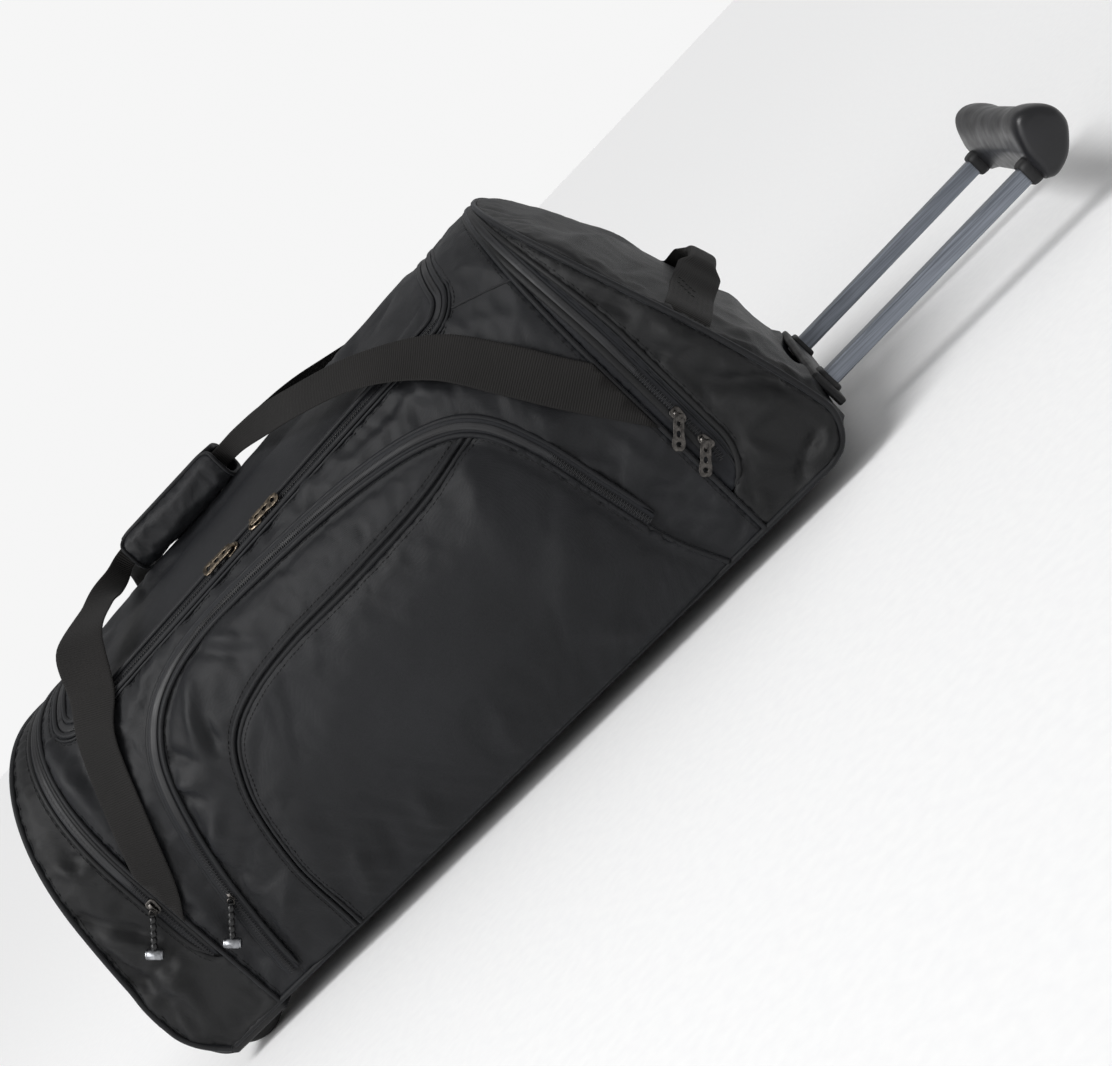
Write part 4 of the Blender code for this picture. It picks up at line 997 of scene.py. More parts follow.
# ---- end pockets --------------------------------------------------------------------------
def end_panels(name, end_x, band_x, nodes, floor, seam, swell, skirt, side_folds, face_folds, calm_paths=()):
    """An end pocket: its side, which wraps over the bag, its face, and the band that holds its zip."""
    outer = section_path(end_x)
    inner = section_path(band_x)

    def place_side(flat):
        low = on_skin(flat)[:, 2]
        return lifted(flat, skirt * ease((SKIRT_TOP - low) / SKIRT_FADE))[0]

    def place_face(flat):
        y, z = flat[:, 0], flat[:, 1]
        return columns(end_x(z) + swell(y, z), y, z)

    calm = [(line, radius) for path, radius in calm_paths for line in (np.array(path), mirrored(np.array(path)))]
    side_folds = side_folds + [((a[0], GIRTH - a[1]), (b[0], GIRTH - b[1]), w, h) for a, b, w, h in side_folds]
    side = Panel(f"{name}_side", np.vstack([outer, inner[::-1]]), place_side, "bag", nodes, folds=side_folds,
                 growth=0.026, pressure=0.7, cap=0.006, material=SIDE_CLOTH, crumple=0.0012, calm=calm)
    rim = on_skin(outer)[:, 1:]
    rim = rim[rim[:, 1] >= floor - 1e-6]
    face_folds = [(start, end, width, height * FACE_FOLDS) for start, end, width, height in face_folds]
    Panel(f"{name}_face", rim, place_face, "bag", folds=face_folds, growth=0.022, pressure=0.5, cap=0.005,
          material=SIDE_CLOTH, crumple=0.0012)
    open_part = inner[np.abs(band_x(on_skin(inner)[:, 2]) - seam) > 0.0008]
    sewn = columns(seam, open_part[:, 1])
    Panel(f"{name}_gusset", np.vstack([open_part, sewn[::-1]]), lambda f: lifted(f, -0.0004)[0], "bag",
          (f"zip_band_{name}",), material=TAPE, slot="zip_tape", pressure=0.0, growth=0.006, cap=0.001,
          crumple=0.0003)
    return side, outer, inner, open_part


def handle_swell(y, z):
    """The handle-end face bulges over its middle and lies flat and upright behind the rails' bezel."""
    bulge = 0.012 * (1 - (y / HALF) ** 2) * ease((z - 0.074) / 0.060) * (1 - 0.75 * ease((z - 0.26) / 0.08))
    upright = (0.3665 - handle_end_x(z)) * ease((0.156 - np.abs(y)) / 0.026) * ease((z - BASE_Z) / 0.014)
    return bulge + np.where(z < 0.072, upright, 0.0)


def wheel_swell(y, z):
    return -0.006 * (1 - (y / HALF) ** 2) * ease((z - 0.088) / 0.050) * (1 - 0.8 * ease((z - 0.25) / 0.08))


def build_handle_end():
    side_folds = [((0.318, 0.176), (0.344, 0.098), 0.0100, 0.0056),
                  ((0.301, 0.172), (0.318, 0.118), 0.0055, -0.0036),
                  ((0.312, 0.112), (0.362, 0.068), 0.0065, -0.0050),
                  ((0.303, 0.150), (0.330, 0.110), 0.0060, 0.0030),
                  ((0.296, 0.224), (0.318, 0.172), 0.0050, -0.0040),
                  ((0.304, 0.236), (0.322, 0.190), 0.0055, 0.0034),
                  ((0.310, 0.006), (0.327, 0.021), 0.0035, -0.0036),
                  ((0.327, 0.021), (0.350, 0.026), 0.0040, -0.0040),
                  ((0.330, 0.008), (0.356, 0.018), 0.0070, 0.0040),
                  ((0.286, 0.024), (0.279, 0.010), 0.0035, 0.0024),
                  ((0.318, 0.088), (0.352, 0.046), 0.0110, 0.0042),
                  ((0.300, 0.060), (0.316, 0.024), 0.0080, 0.0030),
                  ((0.302, 0.275), (0.312, 0.245), 0.0050, 0.0024)]
    face_folds = [((-0.145, 0.275), (0.02, 0.236), 0.010, 0.0050),
                  ((0.145, 0.265), (0.02, 0.216), 0.010, 0.0042),
                  ((-0.155, 0.238), (-0.06, 0.212), 0.007, -0.0036),
                  ((-0.155, 0.145), (-0.085, 0.095), 0.009, 0.0040),
                  ((-0.158, 0.118), (-0.115, 0.085), 0.006, -0.0030),
                  ((0.15, 0.13), (0.09, 0.095), 0.010, -0.0036),
                  ((-0.09, 0.140), (0.09, 0.134), 0.009, 0.0034),
                  ((-0.07, 0.300), (0.05, 0.292), 0.009, 0.0030)]
    side, outer, inner, open_part = end_panels(
        "handle_end", handle_end_x, handle_band_x, ("end_pocket_handle", "handle_end_base"), BASE_Z, SEAM_HANDLE,
        handle_swell, 0.0, side_folds, face_folds)
    seam = seam_path(SEAM_HANDLE)
    piping("handle_end_seam_piping", seam + [0.0004, 0], out=0.0012)
    piping("handle_end_rim_piping", outer, radius=0.0025, out=0.0008)
    coil = inner[on_skin(inner)[:, 2] > 0.080] * [0.56, 1.0] + [0.44 * SEAM_HANDLE, 0]
    zip_run("handle_end_zip", *lifted(resample(coil), 0.0006), tape=0.0110)
    hem("handle_end_flap", beside(coil, 0.0056), "bag", 0.0060, 0.0026, 0.0010, SIDE_CLOTH)
    for k, share in enumerate((0.25, 0.62)):
        rib = columns(coil_beside(open_part, coil, share), open_part[:, 1])
        piping(f"handle_end_gusset_rib_{k}", rib, radius=0.0007, out=-0.0002)
    hem("handle_end_pocket_hem", beside(open_part, 0.0004), "bag", 0.0046, 0.0030, 0.0006, SIDE_CLOTH)
    return side, seam, outer, inner


def coil_beside(edge, coil, share):
    """x between a zip's line and its band's outer edge, at each point of the edge."""
    at_coil = np.interp(edge[:, 1], coil[:, 1], coil[:, 0])
    return at_coil + (edge[:, 0] - at_coil) * (0.35 + 0.6 * share)


def build_wheel_end():
    side_folds = [((-0.323, 0.206), (-0.314, 0.191), 0.0030, 0.0030),
                  ((-0.314, 0.191), (-0.299, 0.184), 0.0030, 0.0032),
                  ((-0.318, 0.214), (-0.302, 0.198), 0.0050, -0.0030),
                  ((-0.347, 0.174), (-0.327, 0.136), 0.0060, -0.0046),
                  ((-0.327, 0.136), (-0.310, 0.104), 0.0060, -0.0046),
                  ((-0.338, 0.142), (-0.318, 0.104), 0.0070, 0.0040),
                  ((-0.352, 0.124), (-0.342, 0.056), 0.0100, -0.0034),
                  ((-0.304, 0.092), (-0.286, 0.040), 0.0060, -0.0034),
                  ((-0.338, 0.104), (-0.322, 0.030), 0.0110, 0.0034),
                  ((-0.345, 0.142), (-0.340, 0.100), 0.0060, 0.0034),
                  ((-0.336, 0.236), (-0.318, 0.232), 0.0060, 0.0026),
                  ((-0.304, 0.168), (-0.296, 0.128), 0.0050, 0.0026),
                  ((-0.356, 0.052), (-0.340, 0.010), 0.0100, 0.0030)]
    face_folds = [((-0.145, 0.260), (0.0, 0.205), 0.010, 0.0040),
                  ((0.145, 0.250), (0.03, 0.175), 0.010, 0.0036),
                  ((-0.150, 0.175), (-0.05, 0.118), 0.009, -0.0036),
                  ((0.150, 0.150), (0.06, 0.112), 0.009, 0.0034),
                  ((-0.06, 0.270), (0.07, 0.262), 0.009, -0.0028),
                  ((-0.150, 0.122), (-0.080, 0.104), 0.007, 0.0030)]
    skirt = 0.0026
    side, outer, inner, open_part = end_panels(
        "wheel_end", wheel_end_x, wheel_band_x, ("end_pocket_wheel",), WHEEL_FACE_FLOOR, SEAM_WHEEL, wheel_swell,
        skirt, side_folds, face_folds,
        [([(-0.2925, 0.120), (-0.2915, 0.050)], 0.022), ([(-0.312, 0.056), (-0.320, 0.036)], 0.016)])
    seam = seam_path(SEAM_WHEEL)
    piping("wheel_end_seam_piping", seam, out=0.0012)
    heights = on_skin(outer)[:, 2]
    out = 0.0008 + skirt * ease((SKIRT_TOP - heights) / SKIRT_FADE)
    cord_piece("wheel_end_rim_piping", *lifted(outer, out), 0.0025)
    coil = inner[on_skin(inner)[:, 2] > 0.083].copy()
    coil[:, 0] = SEAM_WHEEL - 0.0085
    zip_run("wheel_end_zip", *lifted(resample(coil), 0.0006), tape=0.0100)
    hem("wheel_end_flap", beside(coil, -0.0050), "bag", 0.0044, 0.0034, 0.0010, SIDE_CLOTH)
    hem("wheel_end_pocket_hem", beside(open_part, -0.0002), "bag", 0.0044, 0.0030, 0.0008, SIDE_CLOTH)
    low = np.array([(float(wheel_end_x(WHEEL_FACE_FLOOR)), y, WHEEL_FACE_FLOOR)
                    for y in np.linspace(-0.168, 0.168, 60)])
    cord_piece("wheel_end_base_piping", low, (-1.0, 0, 0), 0.0022)
    return side, seam, outer, inner


def build_base_edges():
    """Piping where the sides meet the base, and across the base's handle end."""
    end = float(handle_end_x(BASE_Z))
    for name, side in (("front", -1), ("back", 1)):
        path = [(x, side * (HALF + 0.0006), BASE_Z) for x in np.linspace(-0.340, end, 170)]
        cord_piece(f"base_piping_{name}", path, (0, side, 0), 0.0024)
    path = [(end, y, BASE_Z) for y in np.linspace(-HALF, HALF, 80)]
    cord_piece("base_piping_handle_end", path, (0, 0, -1.0), 0.0022)


def build_partitions():
    gap = 0.0036
    for name, box_name in (("wheel_end", "partition_wheel_end"), ("handle_end", "partition_handle_end")):
        low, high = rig.box(box_name)
        x = (low.x + high.x) / 2 - SHIFT[0]
        rim_s = np.linspace(0, GIRTH, 120)
        y, z = arch(x, np.interp(rim_s - SIDE_RUN, ARCH_RUN, ARCH_DEGREES), -gap)
        keep = (rim_s > SIDE_RUN) & (rim_s < GIRTH - SIDE_RUN)
        rim = np.vstack([[(-HALF + gap, low.z)], columns(y, z)[keep], [(HALF - gap, low.z)]])
        Panel(f"{name}_wall", rim, lambda f, x=x: columns(x, f[:, 0], f[:, 1]), "bag", (box_name,),
              material=LINING, growth=0.006, pressure=0.0, cap=0.001, grain=0.008)


def build_lid_zip():
    zip_run("main_zip", *lifted(resample(LID_ZIP), 0.0004),
            ("main_zip_front", "main_zip_wheel_end", "main_zip_handle_end"))
    hem("main_zip_body_hem", beside(LID_ZIP, -0.0064), "bag", 0.0050, 0.0040, 0.0012)
    hem("main_zip_body_cord", beside(LID_ZIP, -0.0108), "bag", 0.0026, 0.0026, 0.0008)
    hem("main_zip_lid_hem", beside(LID_ZIP, 0.0060), "lid", 0.0046, 0.0040, 0.0012)


# ---- straps, wrap and grab handle ---------------------------------------------------------
def on_front(x, z, out):
    """A point standing out from the front side at a height, and the direction it stands out in."""
    degrees = np.interp(s_at_height(z, x) - SIDE_RUN, ARCH_RUN, ARCH_DEGREES)
    if z <= SHOULDER_Z:
        return np.array([x, -HALF - out, z]), np.array([0.0, -1.0, 0.0])
    base = np.array([x, *arch(x, degrees)])
    away = unit(np.array([x, *arch(x, degrees, 0.01)]) - base)
    return base + away * out, away


def strap_knots(side):
    """Centre, direction of the width, and width along a carry strap; side -1 is the front one."""
    crown_y = -0.0100 if side < 0 else 0.0040

    def leg(places, lifts, directions, widths):
        return [(on_front(x, z, lift), across, width)
                for (x, z), lift, across, width in zip(places, lifts, directions, widths)]

    knots = leg(STRAP_LEG_HANDLE, (0.0042, 0.0050, 0.0065, 0.0085),
                ((0.83, 0.0, 0.55), (0.83, 0.0, 0.55), (0.80, -0.2, 0.50), (0.80, 0.3, 0.45)),
                (0.038, 0.038, 0.038, 0.036))
    free = [((0.1300, -0.1230, 0.3225), (0.25, 0.75, 0.60), 0.033),
            ((0.0600, -0.0800, 0.3440), (0.08, 0.72, 0.66), 0.028),
            ((0.0080, -0.0330, 0.3530), (0.0, 0.35, 0.94), 0.020),
            ((-0.0250, crown_y, 0.3550), (0.0, 0.0, 1.0), 0.017),
            ((-0.0800, crown_y, 0.3560), (0.0, 0.0, 1.0), 0.017),
            ((-0.1450, crown_y, 0.3560), (0.0, 0.0, 1.0), 0.017),
            ((-0.1620, -0.0280, 0.3500), (-0.05, 0.45, 0.88), 0.021),
            ((-0.1740, -0.0680, 0.3455), (-0.50, 0.72, 0.48), 0.030),
            ((-0.1900, -0.1150, 0.3340), (-0.92, 0.05, 0.38), 0.043),
            ((-0.2090, -0.1310, 0.2985), (-0.90, 0.15, 0.42), 0.042)]
    knots += [((np.array(centre), None), across, width) for centre, across, width in free]
    knots += leg(STRAP_LEG_WHEEL, (0.0070, 0.0052, 0.0046, 0.0046),
                 ((-0.88, 0.25, 0.40), (-0.90, 0.0, 0.42), (-0.88, 0.0, 0.47), (-0.86, 0.0, 0.50)),
                 (0.037, 0.033, 0.029, 0.020))
    rows = []
    for (centre, away), across, width in knots:
        across = np.array(across, float)
        if away is not None:
            across -= (across @ away) * away
        across = unit(across)
        crown = away is None and abs(centre[1] - crown_y) < 1e-9
        mirror = np.array([1.0, 1.0 if crown else -side, 1.0])
        rows.append([*(centre * mirror), *(across * mirror), width])
    return rows


def build_straps():
    for name, side in (("front", -1), ("back", 1)):
        rows = curve_through(strap_knots(side), 10)
        before, after = rows[0].copy(), rows[-1].copy()
        before[:3] += 0.024 * unit(rows[0, :3] - rows[1, :3])
        after[:3] += 0.016 * unit(rows[-1, :3] - rows[-2, :3])
        rows = np.vstack([before, rows, after])
        centre, across, width = rows[:, :3], unit(rows[:, 3:6]), rows[:, 6]
        along = unit(np.gradient(centre, axis=0))
        across = unit(across - (across * along).sum(1, keepdims=True) * along)
        normals = np.cross(along, across)
        sides = 20
        section = rounded_bar(1.0, 0.0024, sides)
        cup = 0.0011 * (1 - (2 * section[:, 0]) ** 2)
        rings = centre[:, None, :] + across[:, None, :] * (section[None, :, 0, None] * width[:, None, None])
        rings = rings + normals[:, None, :] * (section[:, 1] + cup)[None, :, None]
        attributes = {"run": np.repeat(run_along(centre), sides),
                      "across": (section[None, :, 0] * width[:, None]).ravel()}
        strap = piece(f"carry_strap_{name}_webbing", rings.reshape(-1, 3), tube_faces(len(rings), sides), WEBBING,
                      None, "webbing", (f"carry_strap_{name}",), attributes=attributes)
        trim_to_seams(strap)
        low = (0.0, side * HALF, 0.150)
        high = (0.0, side * HALF, 0.215)
        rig.blend(strap, "bag", f"strap_{name}", np.array(low) + SHIFT, np.array(high) + SHIFT)


def trim_to_seams(strap):
    """Cuts a strap's ends off where they go into the end seams."""
    edit = bmesh.new()
    edit.from_mesh(strap.data)
    for x, direction in ((SEAM_HANDLE - 0.0008, 1), (SEAM_WHEEL + 0.0004, -1)):
        cut = bmesh.ops.bisect_plane(edit, geom=edit.verts[:] + edit.edges[:] + edit.faces[:],
                                     plane_co=(x + SHIFT[0], 0, 0), plane_no=(direction, 0, 0), clear_outer=True)
        rim = [e for e in cut["geom_cut"] if isinstance(e, bmesh.types.BMEdge)]
        bmesh.ops.holes_fill(edit, edges=rim)
    bmesh.ops.recalc_face_normals(edit, faces=edit.faces)
    edit.to_mesh(strap.data)
    edit.free()


def build_wrap():
    """The padded wrap: one bound piece of cloth closed round both straps."""
    low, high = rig.box("wrap_grip")
    low, high = np.array(low) - SHIFT, np.array(high) - SHIFT
    centre, half = (low + high) / 2 - [0.0, 0.0, 0.0038], (high - low) / 2 + [0.0, 0.0020, 0.0002]
    angle = np.linspace(0, math.tau, 181)
    c, s = np.cos(angle), np.sin(angle)
    loop = columns(np.sign(s) * np.abs(s) ** 0.62 * -half[1], np.sign(c) * np.abs(c) ** 0.62 * half[2])
    run = run_along(loop)
    girth = run[-1]
    start = 0.010

    def place(flat):
        at = (flat[:, 1] + start) % girth
        squeeze = 1 - 0.10 * ease((np.abs(flat[:, 0] - centre[0]) / half[0] - 0.72) / 0.28)
        y = centre[1] + np.interp(at, run, loop[:, 0]) * squeeze
        z = centre[2] + np.interp(at, run, loop[:, 1]) * squeeze
        return columns(flat[:, 0], y, z)

    radius = 0.010
    corner = quarter(radius, 7)
    x0, x1, y0, y1 = low[0] + 0.003, high[0] - 0.003, 0.0012, girth - 0.0012
    outline = np.vstack([corner + [x1 - radius, y1 - radius],
                         corner[::-1] * [-1, 1] + [x0 + radius, y1 - radius],
                         corner * [-1, -1] + [x0 + radius, y0 + radius],
                         corner[::-1] * [1, -1] + [x1 - radius, y0 + radius]])
    wrap = Panel("wrap_pad", outline, place, "strap_front", ("wrap_grip",), growth=0.016, pressure=2.0, cap=0.003,
                 grain=0.0030, crumple=0.0003)
    edge = place(resample(closed(outline), 0.0025))
    away = unit((edge - centre) * [0.0, 1.0, 1.0])
    points, faces = sweep(edge[:-1], away[:-1], ellipse(0.0032, 0.0052), loop=True)
    piece("wrap_binding", points, faces, TRIM, "strap_front", "shell_fabric")
    return wrap


def build_grab_handle():
    """Webbing across the handle-end face, doubled up where the hand takes it."""
    stops = [(-0.1690, -0.0095), (-0.158, -0.001), (-0.130, 0.0), (-0.095, 0.0005), (-0.078, 0.003),
             (-0.060, 0.0105), (-0.034, 0.0185)]
    stops += [(0.0, 0.0215)] + [(-y, rise) for y, rise in reversed(stops)]
    low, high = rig.box("end_grab_handle")
    z = (low.z + high.z) / 2
    lean = unit(np.array([float(handle_end_x(z + 0.02) - handle_end_x(z - 0.02)), 0.0, 0.04]))
    outward = np.array([lean[2], 0.0, -lean[0]])
    rows = curve_through(stops, 10)
    y, rise = rows[:, 0], rows[:, 1]
    face = handle_end_x(z) + handle_swell(y, z) + 0.0050
    path = columns(face, y, z) + outward * rise[:, None]
    middle = ease((0.052 - np.abs(y)) / 0.016)
    section = rounded_bar(STRAP_WIDTH, 0.0025, 20)
    points, faces = sweep(path, outward, section, 1 - 0.36 * middle, 1 + 2.4 * middle)
    attributes = {"run": np.repeat(run_along(path), len(section)), "across": np.tile(section[:, 0], len(path))}
    piece("grab_handle_webbing", points, faces, WEBBING, "bag", "webbing", ("end_grab_handle",),
          attributes=attributes)
    tacks = np.array([(np.interp(at, y, path[:, 0]) + 0.0016, at, z + k)
                      for at in (-0.088, -0.108, 0.088, 0.108) for k in np.linspace(-0.015, 0.015, 9)])
    heading = np.broadcast_to(lean, tacks.shape)
    points, faces = scattered(STITCH, tacks, heading, np.broadcast_to(outward, tacks.shape))
    piece("grab_handle_tacks", points, faces, THREAD, "bag", "shell_fabric")


# ---- zip sliders and pulls ----------------------------------------------------------------
def framed(points, origin, x_axis, z_axis):
    """Points of a small part, laid out along its own axes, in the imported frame."""
    x_axis = unit(x_axis)
    z_axis = unit(z_axis - (z_axis @ x_axis) * x_axis)
    y_axis = np.cross(z_axis, x_axis)
    return np.asarray(origin) + points @ np.stack([x_axis, y_axis, z_axis])


def slider_shape():
    """A slider's body, wider at its mouth, with the arched bridge that holds the pull."""
    count, reach = 13, 0.0068
    stops = np.linspace(-reach, reach, count)
    width = 1.0 + 0.22 * stops / reach - 0.55 * (np.abs(stops) / reach) ** 6
    height = 1 - 0.4 * (np.abs(stops) / reach) ** 8
    top = sweep(columns(stops, 0, 0), (0, 0, 1), rounded_bar(0.0086, 0.0016), width, height)
    rise = np.linspace(0, math.pi, count)
    bridge = columns(0.0048 * np.cos(rise), 0, 0.0034 * np.sin(rise) ** 0.8)
    return merged([top, sweep(bridge, (0, 1, 0), rounded_bar(0.0013, 0.0030, 12))])


def plate(outline, holes, thickness, soft=0.0003):
    """A flat plate with holes and softened edges, as points and faces."""
    curve = bpy.data.curves.new("plate", "CURVE")
    curve.dimensions = "2D"
    curve.fill_mode = "BOTH"
    curve.extrude = thickness / 2 - soft
    curve.bevel_depth = soft
    curve.bevel_resolution = 2
    for ring in (outline, *holes):
        spline = curve.splines.new("POLY")
        spline.points.add(len(ring) - 1)
        for point, (x, y) in zip(spline.points, ring):
            point.co = (x, y, 0, 1)
        spline.use_cyclic_u = True
    thing = bpy.data.objects.new("plate", curve)
    mesh = bpy.data.meshes.new_from_object(thing)
    edit = bmesh.new()
    edit.from_mesh(mesh)
    bmesh.ops.remove_doubles(edit, verts=edit.verts, dist=1e-6)
    bmesh.ops.recalc_face_normals(edit, faces=edit.faces)
    points = np.array([tuple(v.co) for v in edit.verts])
    faces = [tuple(v.index for v in f.verts) for f in edit.faces]
    edit.free()
    bpy.data.objects.remove(thing)
    return points, faces


def oval(x, length, width):
    return ellipse(length, width, 20) + [x, 0]


def pull_outline(length, root, waist, tip):
    """A pull's outline: rounded at its root, narrower, then a round tip."""
    x = np.array([-0.0014, -0.0008, 0.004, 0.010, length * 0.55, length * 0.78, length * 0.93, length])
    half = np.array([0.30, 0.42, 0.5, 0.5, 0.5, 0.5, 0.42, 0.22])
    width = np.array([root, root, root, waist, waist, tip, tip, tip]) * half
    upper = curve_through(columns(x, width), 5)
    return np.vstack([upper, (upper * [1, -1])[::-1]])


def pull_frame(name, node_name):
    """Pivot, direction and outward side of a pull, from its joint and its CAD node."""
    joint = JOINTS[name]
    low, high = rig.box(node_name)
    pivot, axis = np.array(joint["pos_m"]), np.array(joint["axis"])
    along = np.array((low + high) / 2) - pivot
    along = unit(along - (along @ axis) * axis)
    return pivot, along, np.cross(axis, along)


def build_slider(name, pull_joint, pull_node, material):
    low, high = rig.box(name)
    _, _, normal = pull_frame(pull_joint, pull_node)
    travel = np.array(JOINTS[f"{name}_run"]["axis"])
    points, faces = slider_shape()
    points = framed(points, np.array((low + high) / 2) + normal * 0.0006, travel, normal)
    piece(f"{name}_body", points, faces, material, name, "zip_metal", (name,), placed=True)


def build_metal_pull(node_name, length, material, holes):
    pivot, along, normal = pull_frame(f"{node_name}_swing", node_name)
    outline = pull_outline(length, 0.0074, 0.0078, 0.0096)
    points, faces = plate(outline, holes, 0.0017)
    piece(f"{node_name}_tab", framed(points, pivot, along, normal), faces, material, node_name, "zip_metal",
          (node_name,), placed=True)


def build_cord_pull(node_name):
    """A beaded cord hung on the slider by a ring, with a metal bar across its end."""
    pivot, along, normal = pull_frame(f"{node_name}_swing", node_name)
    length = 0.034
    x = np.linspace(0.004, length, 110)
    beads = 0.0017 + 0.0012 * np.abs(np.sin(x * math.pi / 0.0056)) ** 0.7
    rise = 0.0028 * ease(x / length) + 0.0008 * np.sin(x / length * math.pi)
    path = columns(x, 0, rise)
    ring = columns(*ellipse(0.0058, 0.0054, 28).T, 0) + [0.0034, 0, 0]
    stops = np.array([-0.0072, -0.0069, -0.0060, -0.0056, -0.0051, 0.0051, 0.0056, 0.0060, 0.0069, 0.0072])
    sizes = np.array([0.55, 0.86, 0.94, 0.88, 1.0, 1.0, 0.88, 0.94, 0.86, 0.55])
    bar = columns(length + 0.0038, stops, 0.0030)
    up = (0, 0, 1)
    for part, (points, faces), material, slot, nodes in (
            ("beads", sweep(path, up, ellipse(2.0, 2.0, 18), beads, beads), CORD, "webbing", (node_name,)),
            ("ring", sweep(ring, up, ellipse(0.0013, 0.0013, 8), loop=True), GUNMETAL, "zip_metal", ()),
            ("end", sweep(bar, up, ellipse(0.0090, 0.0084, 24), sizes, sizes), SILVER, "zip_metal", ())):
        piece(f"{node_name}_{part}", framed(points, pivot, along, normal), faces, material, node_name, slot,
              nodes, placed=True)


def build_zip_furniture():
    """Every slider, with a metal pull or a cord; each metal pull's holes are (place, length, width)."""
    for group, ends, material, length, holes in (
            ("main", ("left", "right"), BRASS, 0.030,
             ((0.0058, 0.0056, 0.0034), (0.0150, 0.0060, 0.0036), (0.0244, 0.0048, 0.0048))),
            ("end", ("upper", "lower"), GUNMETAL, 0.026,
             ((0.0052, 0.0050, 0.0034), (0.0132, 0.0056, 0.0036), (0.0210, 0.0044, 0.0044)))):
        for end in ends:
            pull = f"{group}_pull_{end}"
            build_slider(f"{group}_slider_{end}", f"{pull}_swing", pull, material)
            build_metal_pull(pull, length, material, [oval(*hole) for hole in holes])
    for place in ("wheel_pocket", "front_pocket"):
        build_slider(f"{place}_slider", f"{place}_cord_pull_swing", f"{place}_cord_pull", GUNMETAL)
        build_cord_pull(f"{place}_cord_pull")


# ---- trolley ------------------------------------------------------------------------------
SLOPE_ANGLE = math.atan(SLOPE)
TROLLEY_X = np.array([math.cos(SLOPE_ANGLE), 0.0, math.sin(SLOPE_ANGLE)])
TROLLEY_Z = np.array([-math.sin(SLOPE_ANGLE), 0.0, math.cos(SLOPE_ANGLE)])
RAIL_EXIT = np.array([0.375, 0.0, 0.053])
RAIL_END = 0.226                # along the rails from their exit to the grip


def on_trolley(points):
    """Points given along the rails, across, and up from the rails' middle, in the bag's frame."""
    points = np.asarray(points, float)
    return RAIL_EXIT + points[:, :1] * TROLLEY_X + points[:, 1:2] * [0, 1, 0] + points[:, 2:] * TROLLEY_Z


def rounded_loop(width, height, radius, count=8):
    """A rectangle with round corners, as a closed ring of flat points."""
    turn = np.linspace(0, math.pi / 2, count)
    ring = []
    for sx, sy, start in ((1, 1, 0), (-1, 1, 1), (-1, -1, 2), (1, -1, 3)):
        angle = turn + start * math.pi / 2
        ring.append(columns(sx * (width / 2 - radius) + radius * np.cos(angle),
                            sy * (height / 2 - radius) + radius * np.sin(angle)))
    return np.vstack(ring)


def build_grip():
    """The trolley grip: a smooth bar, fuller over the rails, hollowed for its button."""
    knots = [(-0.006, -0.011), (0.002, -0.0145), (0.016, -0.010), (0.027, 0.000), (0.0335, 0.010),
             (0.034, 0.022), (0.028, 0.033), (0.018, 0.040), (0.008, 0.040), (0.001, 0.033),
             (-0.004, 0.020), (-0.006, 0.010)]
    ring = curve_through([*knots, knots[0]], 6)[:-1]
    low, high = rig.box("handle_grip")
    half = (high.y - low.y) / 2
    tip = np.array([0.91, 0.95, 0.975, 0.992, 1.0])
    stops = np.concatenate([-tip[::-1], np.linspace(-0.87, 0.87, 45), tip])
    centre = np.array([0.013, 0.012])
    points, sides = [], len(ring)
    for share in stops:
        end = math.sqrt(max(1 - max((abs(share) - 0.90) / 0.10, 0) ** 2.4, 0.0))
        size = (0.90 + 0.10 * ease((abs(share) - 0.45) / 0.3)) * (0.62 + 0.38 * end)
        spots = centre + (ring - centre) * size
        points.append(columns(RAIL_END + spots[:, 0], share * half, spots[:, 1]))
    grip = piece("grip_body", on_trolley(np.vstack(points)), tube_faces(len(stops), sides), SOFT_PLASTIC, None,
                 "plastic", ("handle_grip",))
    fix_normals(grip)
    rooms = [((RAIL_END - 0.0003, RAIL_END + 0.0175), (-0.1025, 0.1025), (-0.0055, 0.0055)),
             ((RAIL_END + 0.010, RAIL_END + 0.060), (-0.0265, 0.0265), (-0.0045, 0.0045))]
    for y in (-RAIL_Y, RAIL_Y):
        rooms.append(((RAIL_END - 0.03, RAIL_END + 0.0003), (y - 0.0083, y + 0.0083), (-0.0073, 0.0073)))
    for room in rooms:
        carve(grip, room, on_trolley)
    grip.data.set_sharp_from_angle(angle=math.radians(40))
    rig.ride(grip, "trolley_handle")


BOX_FACES = [(0, 1, 3, 2), (4, 6, 7, 5), (0, 4, 5, 1), (2, 3, 7, 6), (0, 2, 6, 4), (1, 5, 7, 3)]


def build_button():
    """The release button, its front corners rounded, and the bar behind it that pushes both rods."""
    half, thick, radius = 0.0255, 0.0076, 0.0060
    back = RAIL_END + 0.0105
    front = RAIL_END + 0.0335
    right = quarter(radius, 8) + [front - radius, half - radius]
    outline = np.vstack([[(back, half)], right[::-1], right * [1, -1], [(back, -half)]])
    bar = [(a, b, c) for a in (RAIL_END + 0.0065, RAIL_END + 0.0125)
           for b in (-RAIL_Y - 0.006, RAIL_Y + 0.006) for c in (-0.0042, 0.0042)]
    points, faces = merged([plate(outline, [], thick, 0.0013), (np.array(bar), BOX_FACES)])
    piece("button_cap", on_trolley(points), faces, PLASTIC, "button", "plastic", ("release_button",))


def fix_normals(thing):
    edit = bmesh.new()
    edit.from_mesh(thing.data)
    bmesh.ops.recalc_face_normals(edit, faces=edit.faces)
    edit.to_mesh(thing.data)
    edit.free()


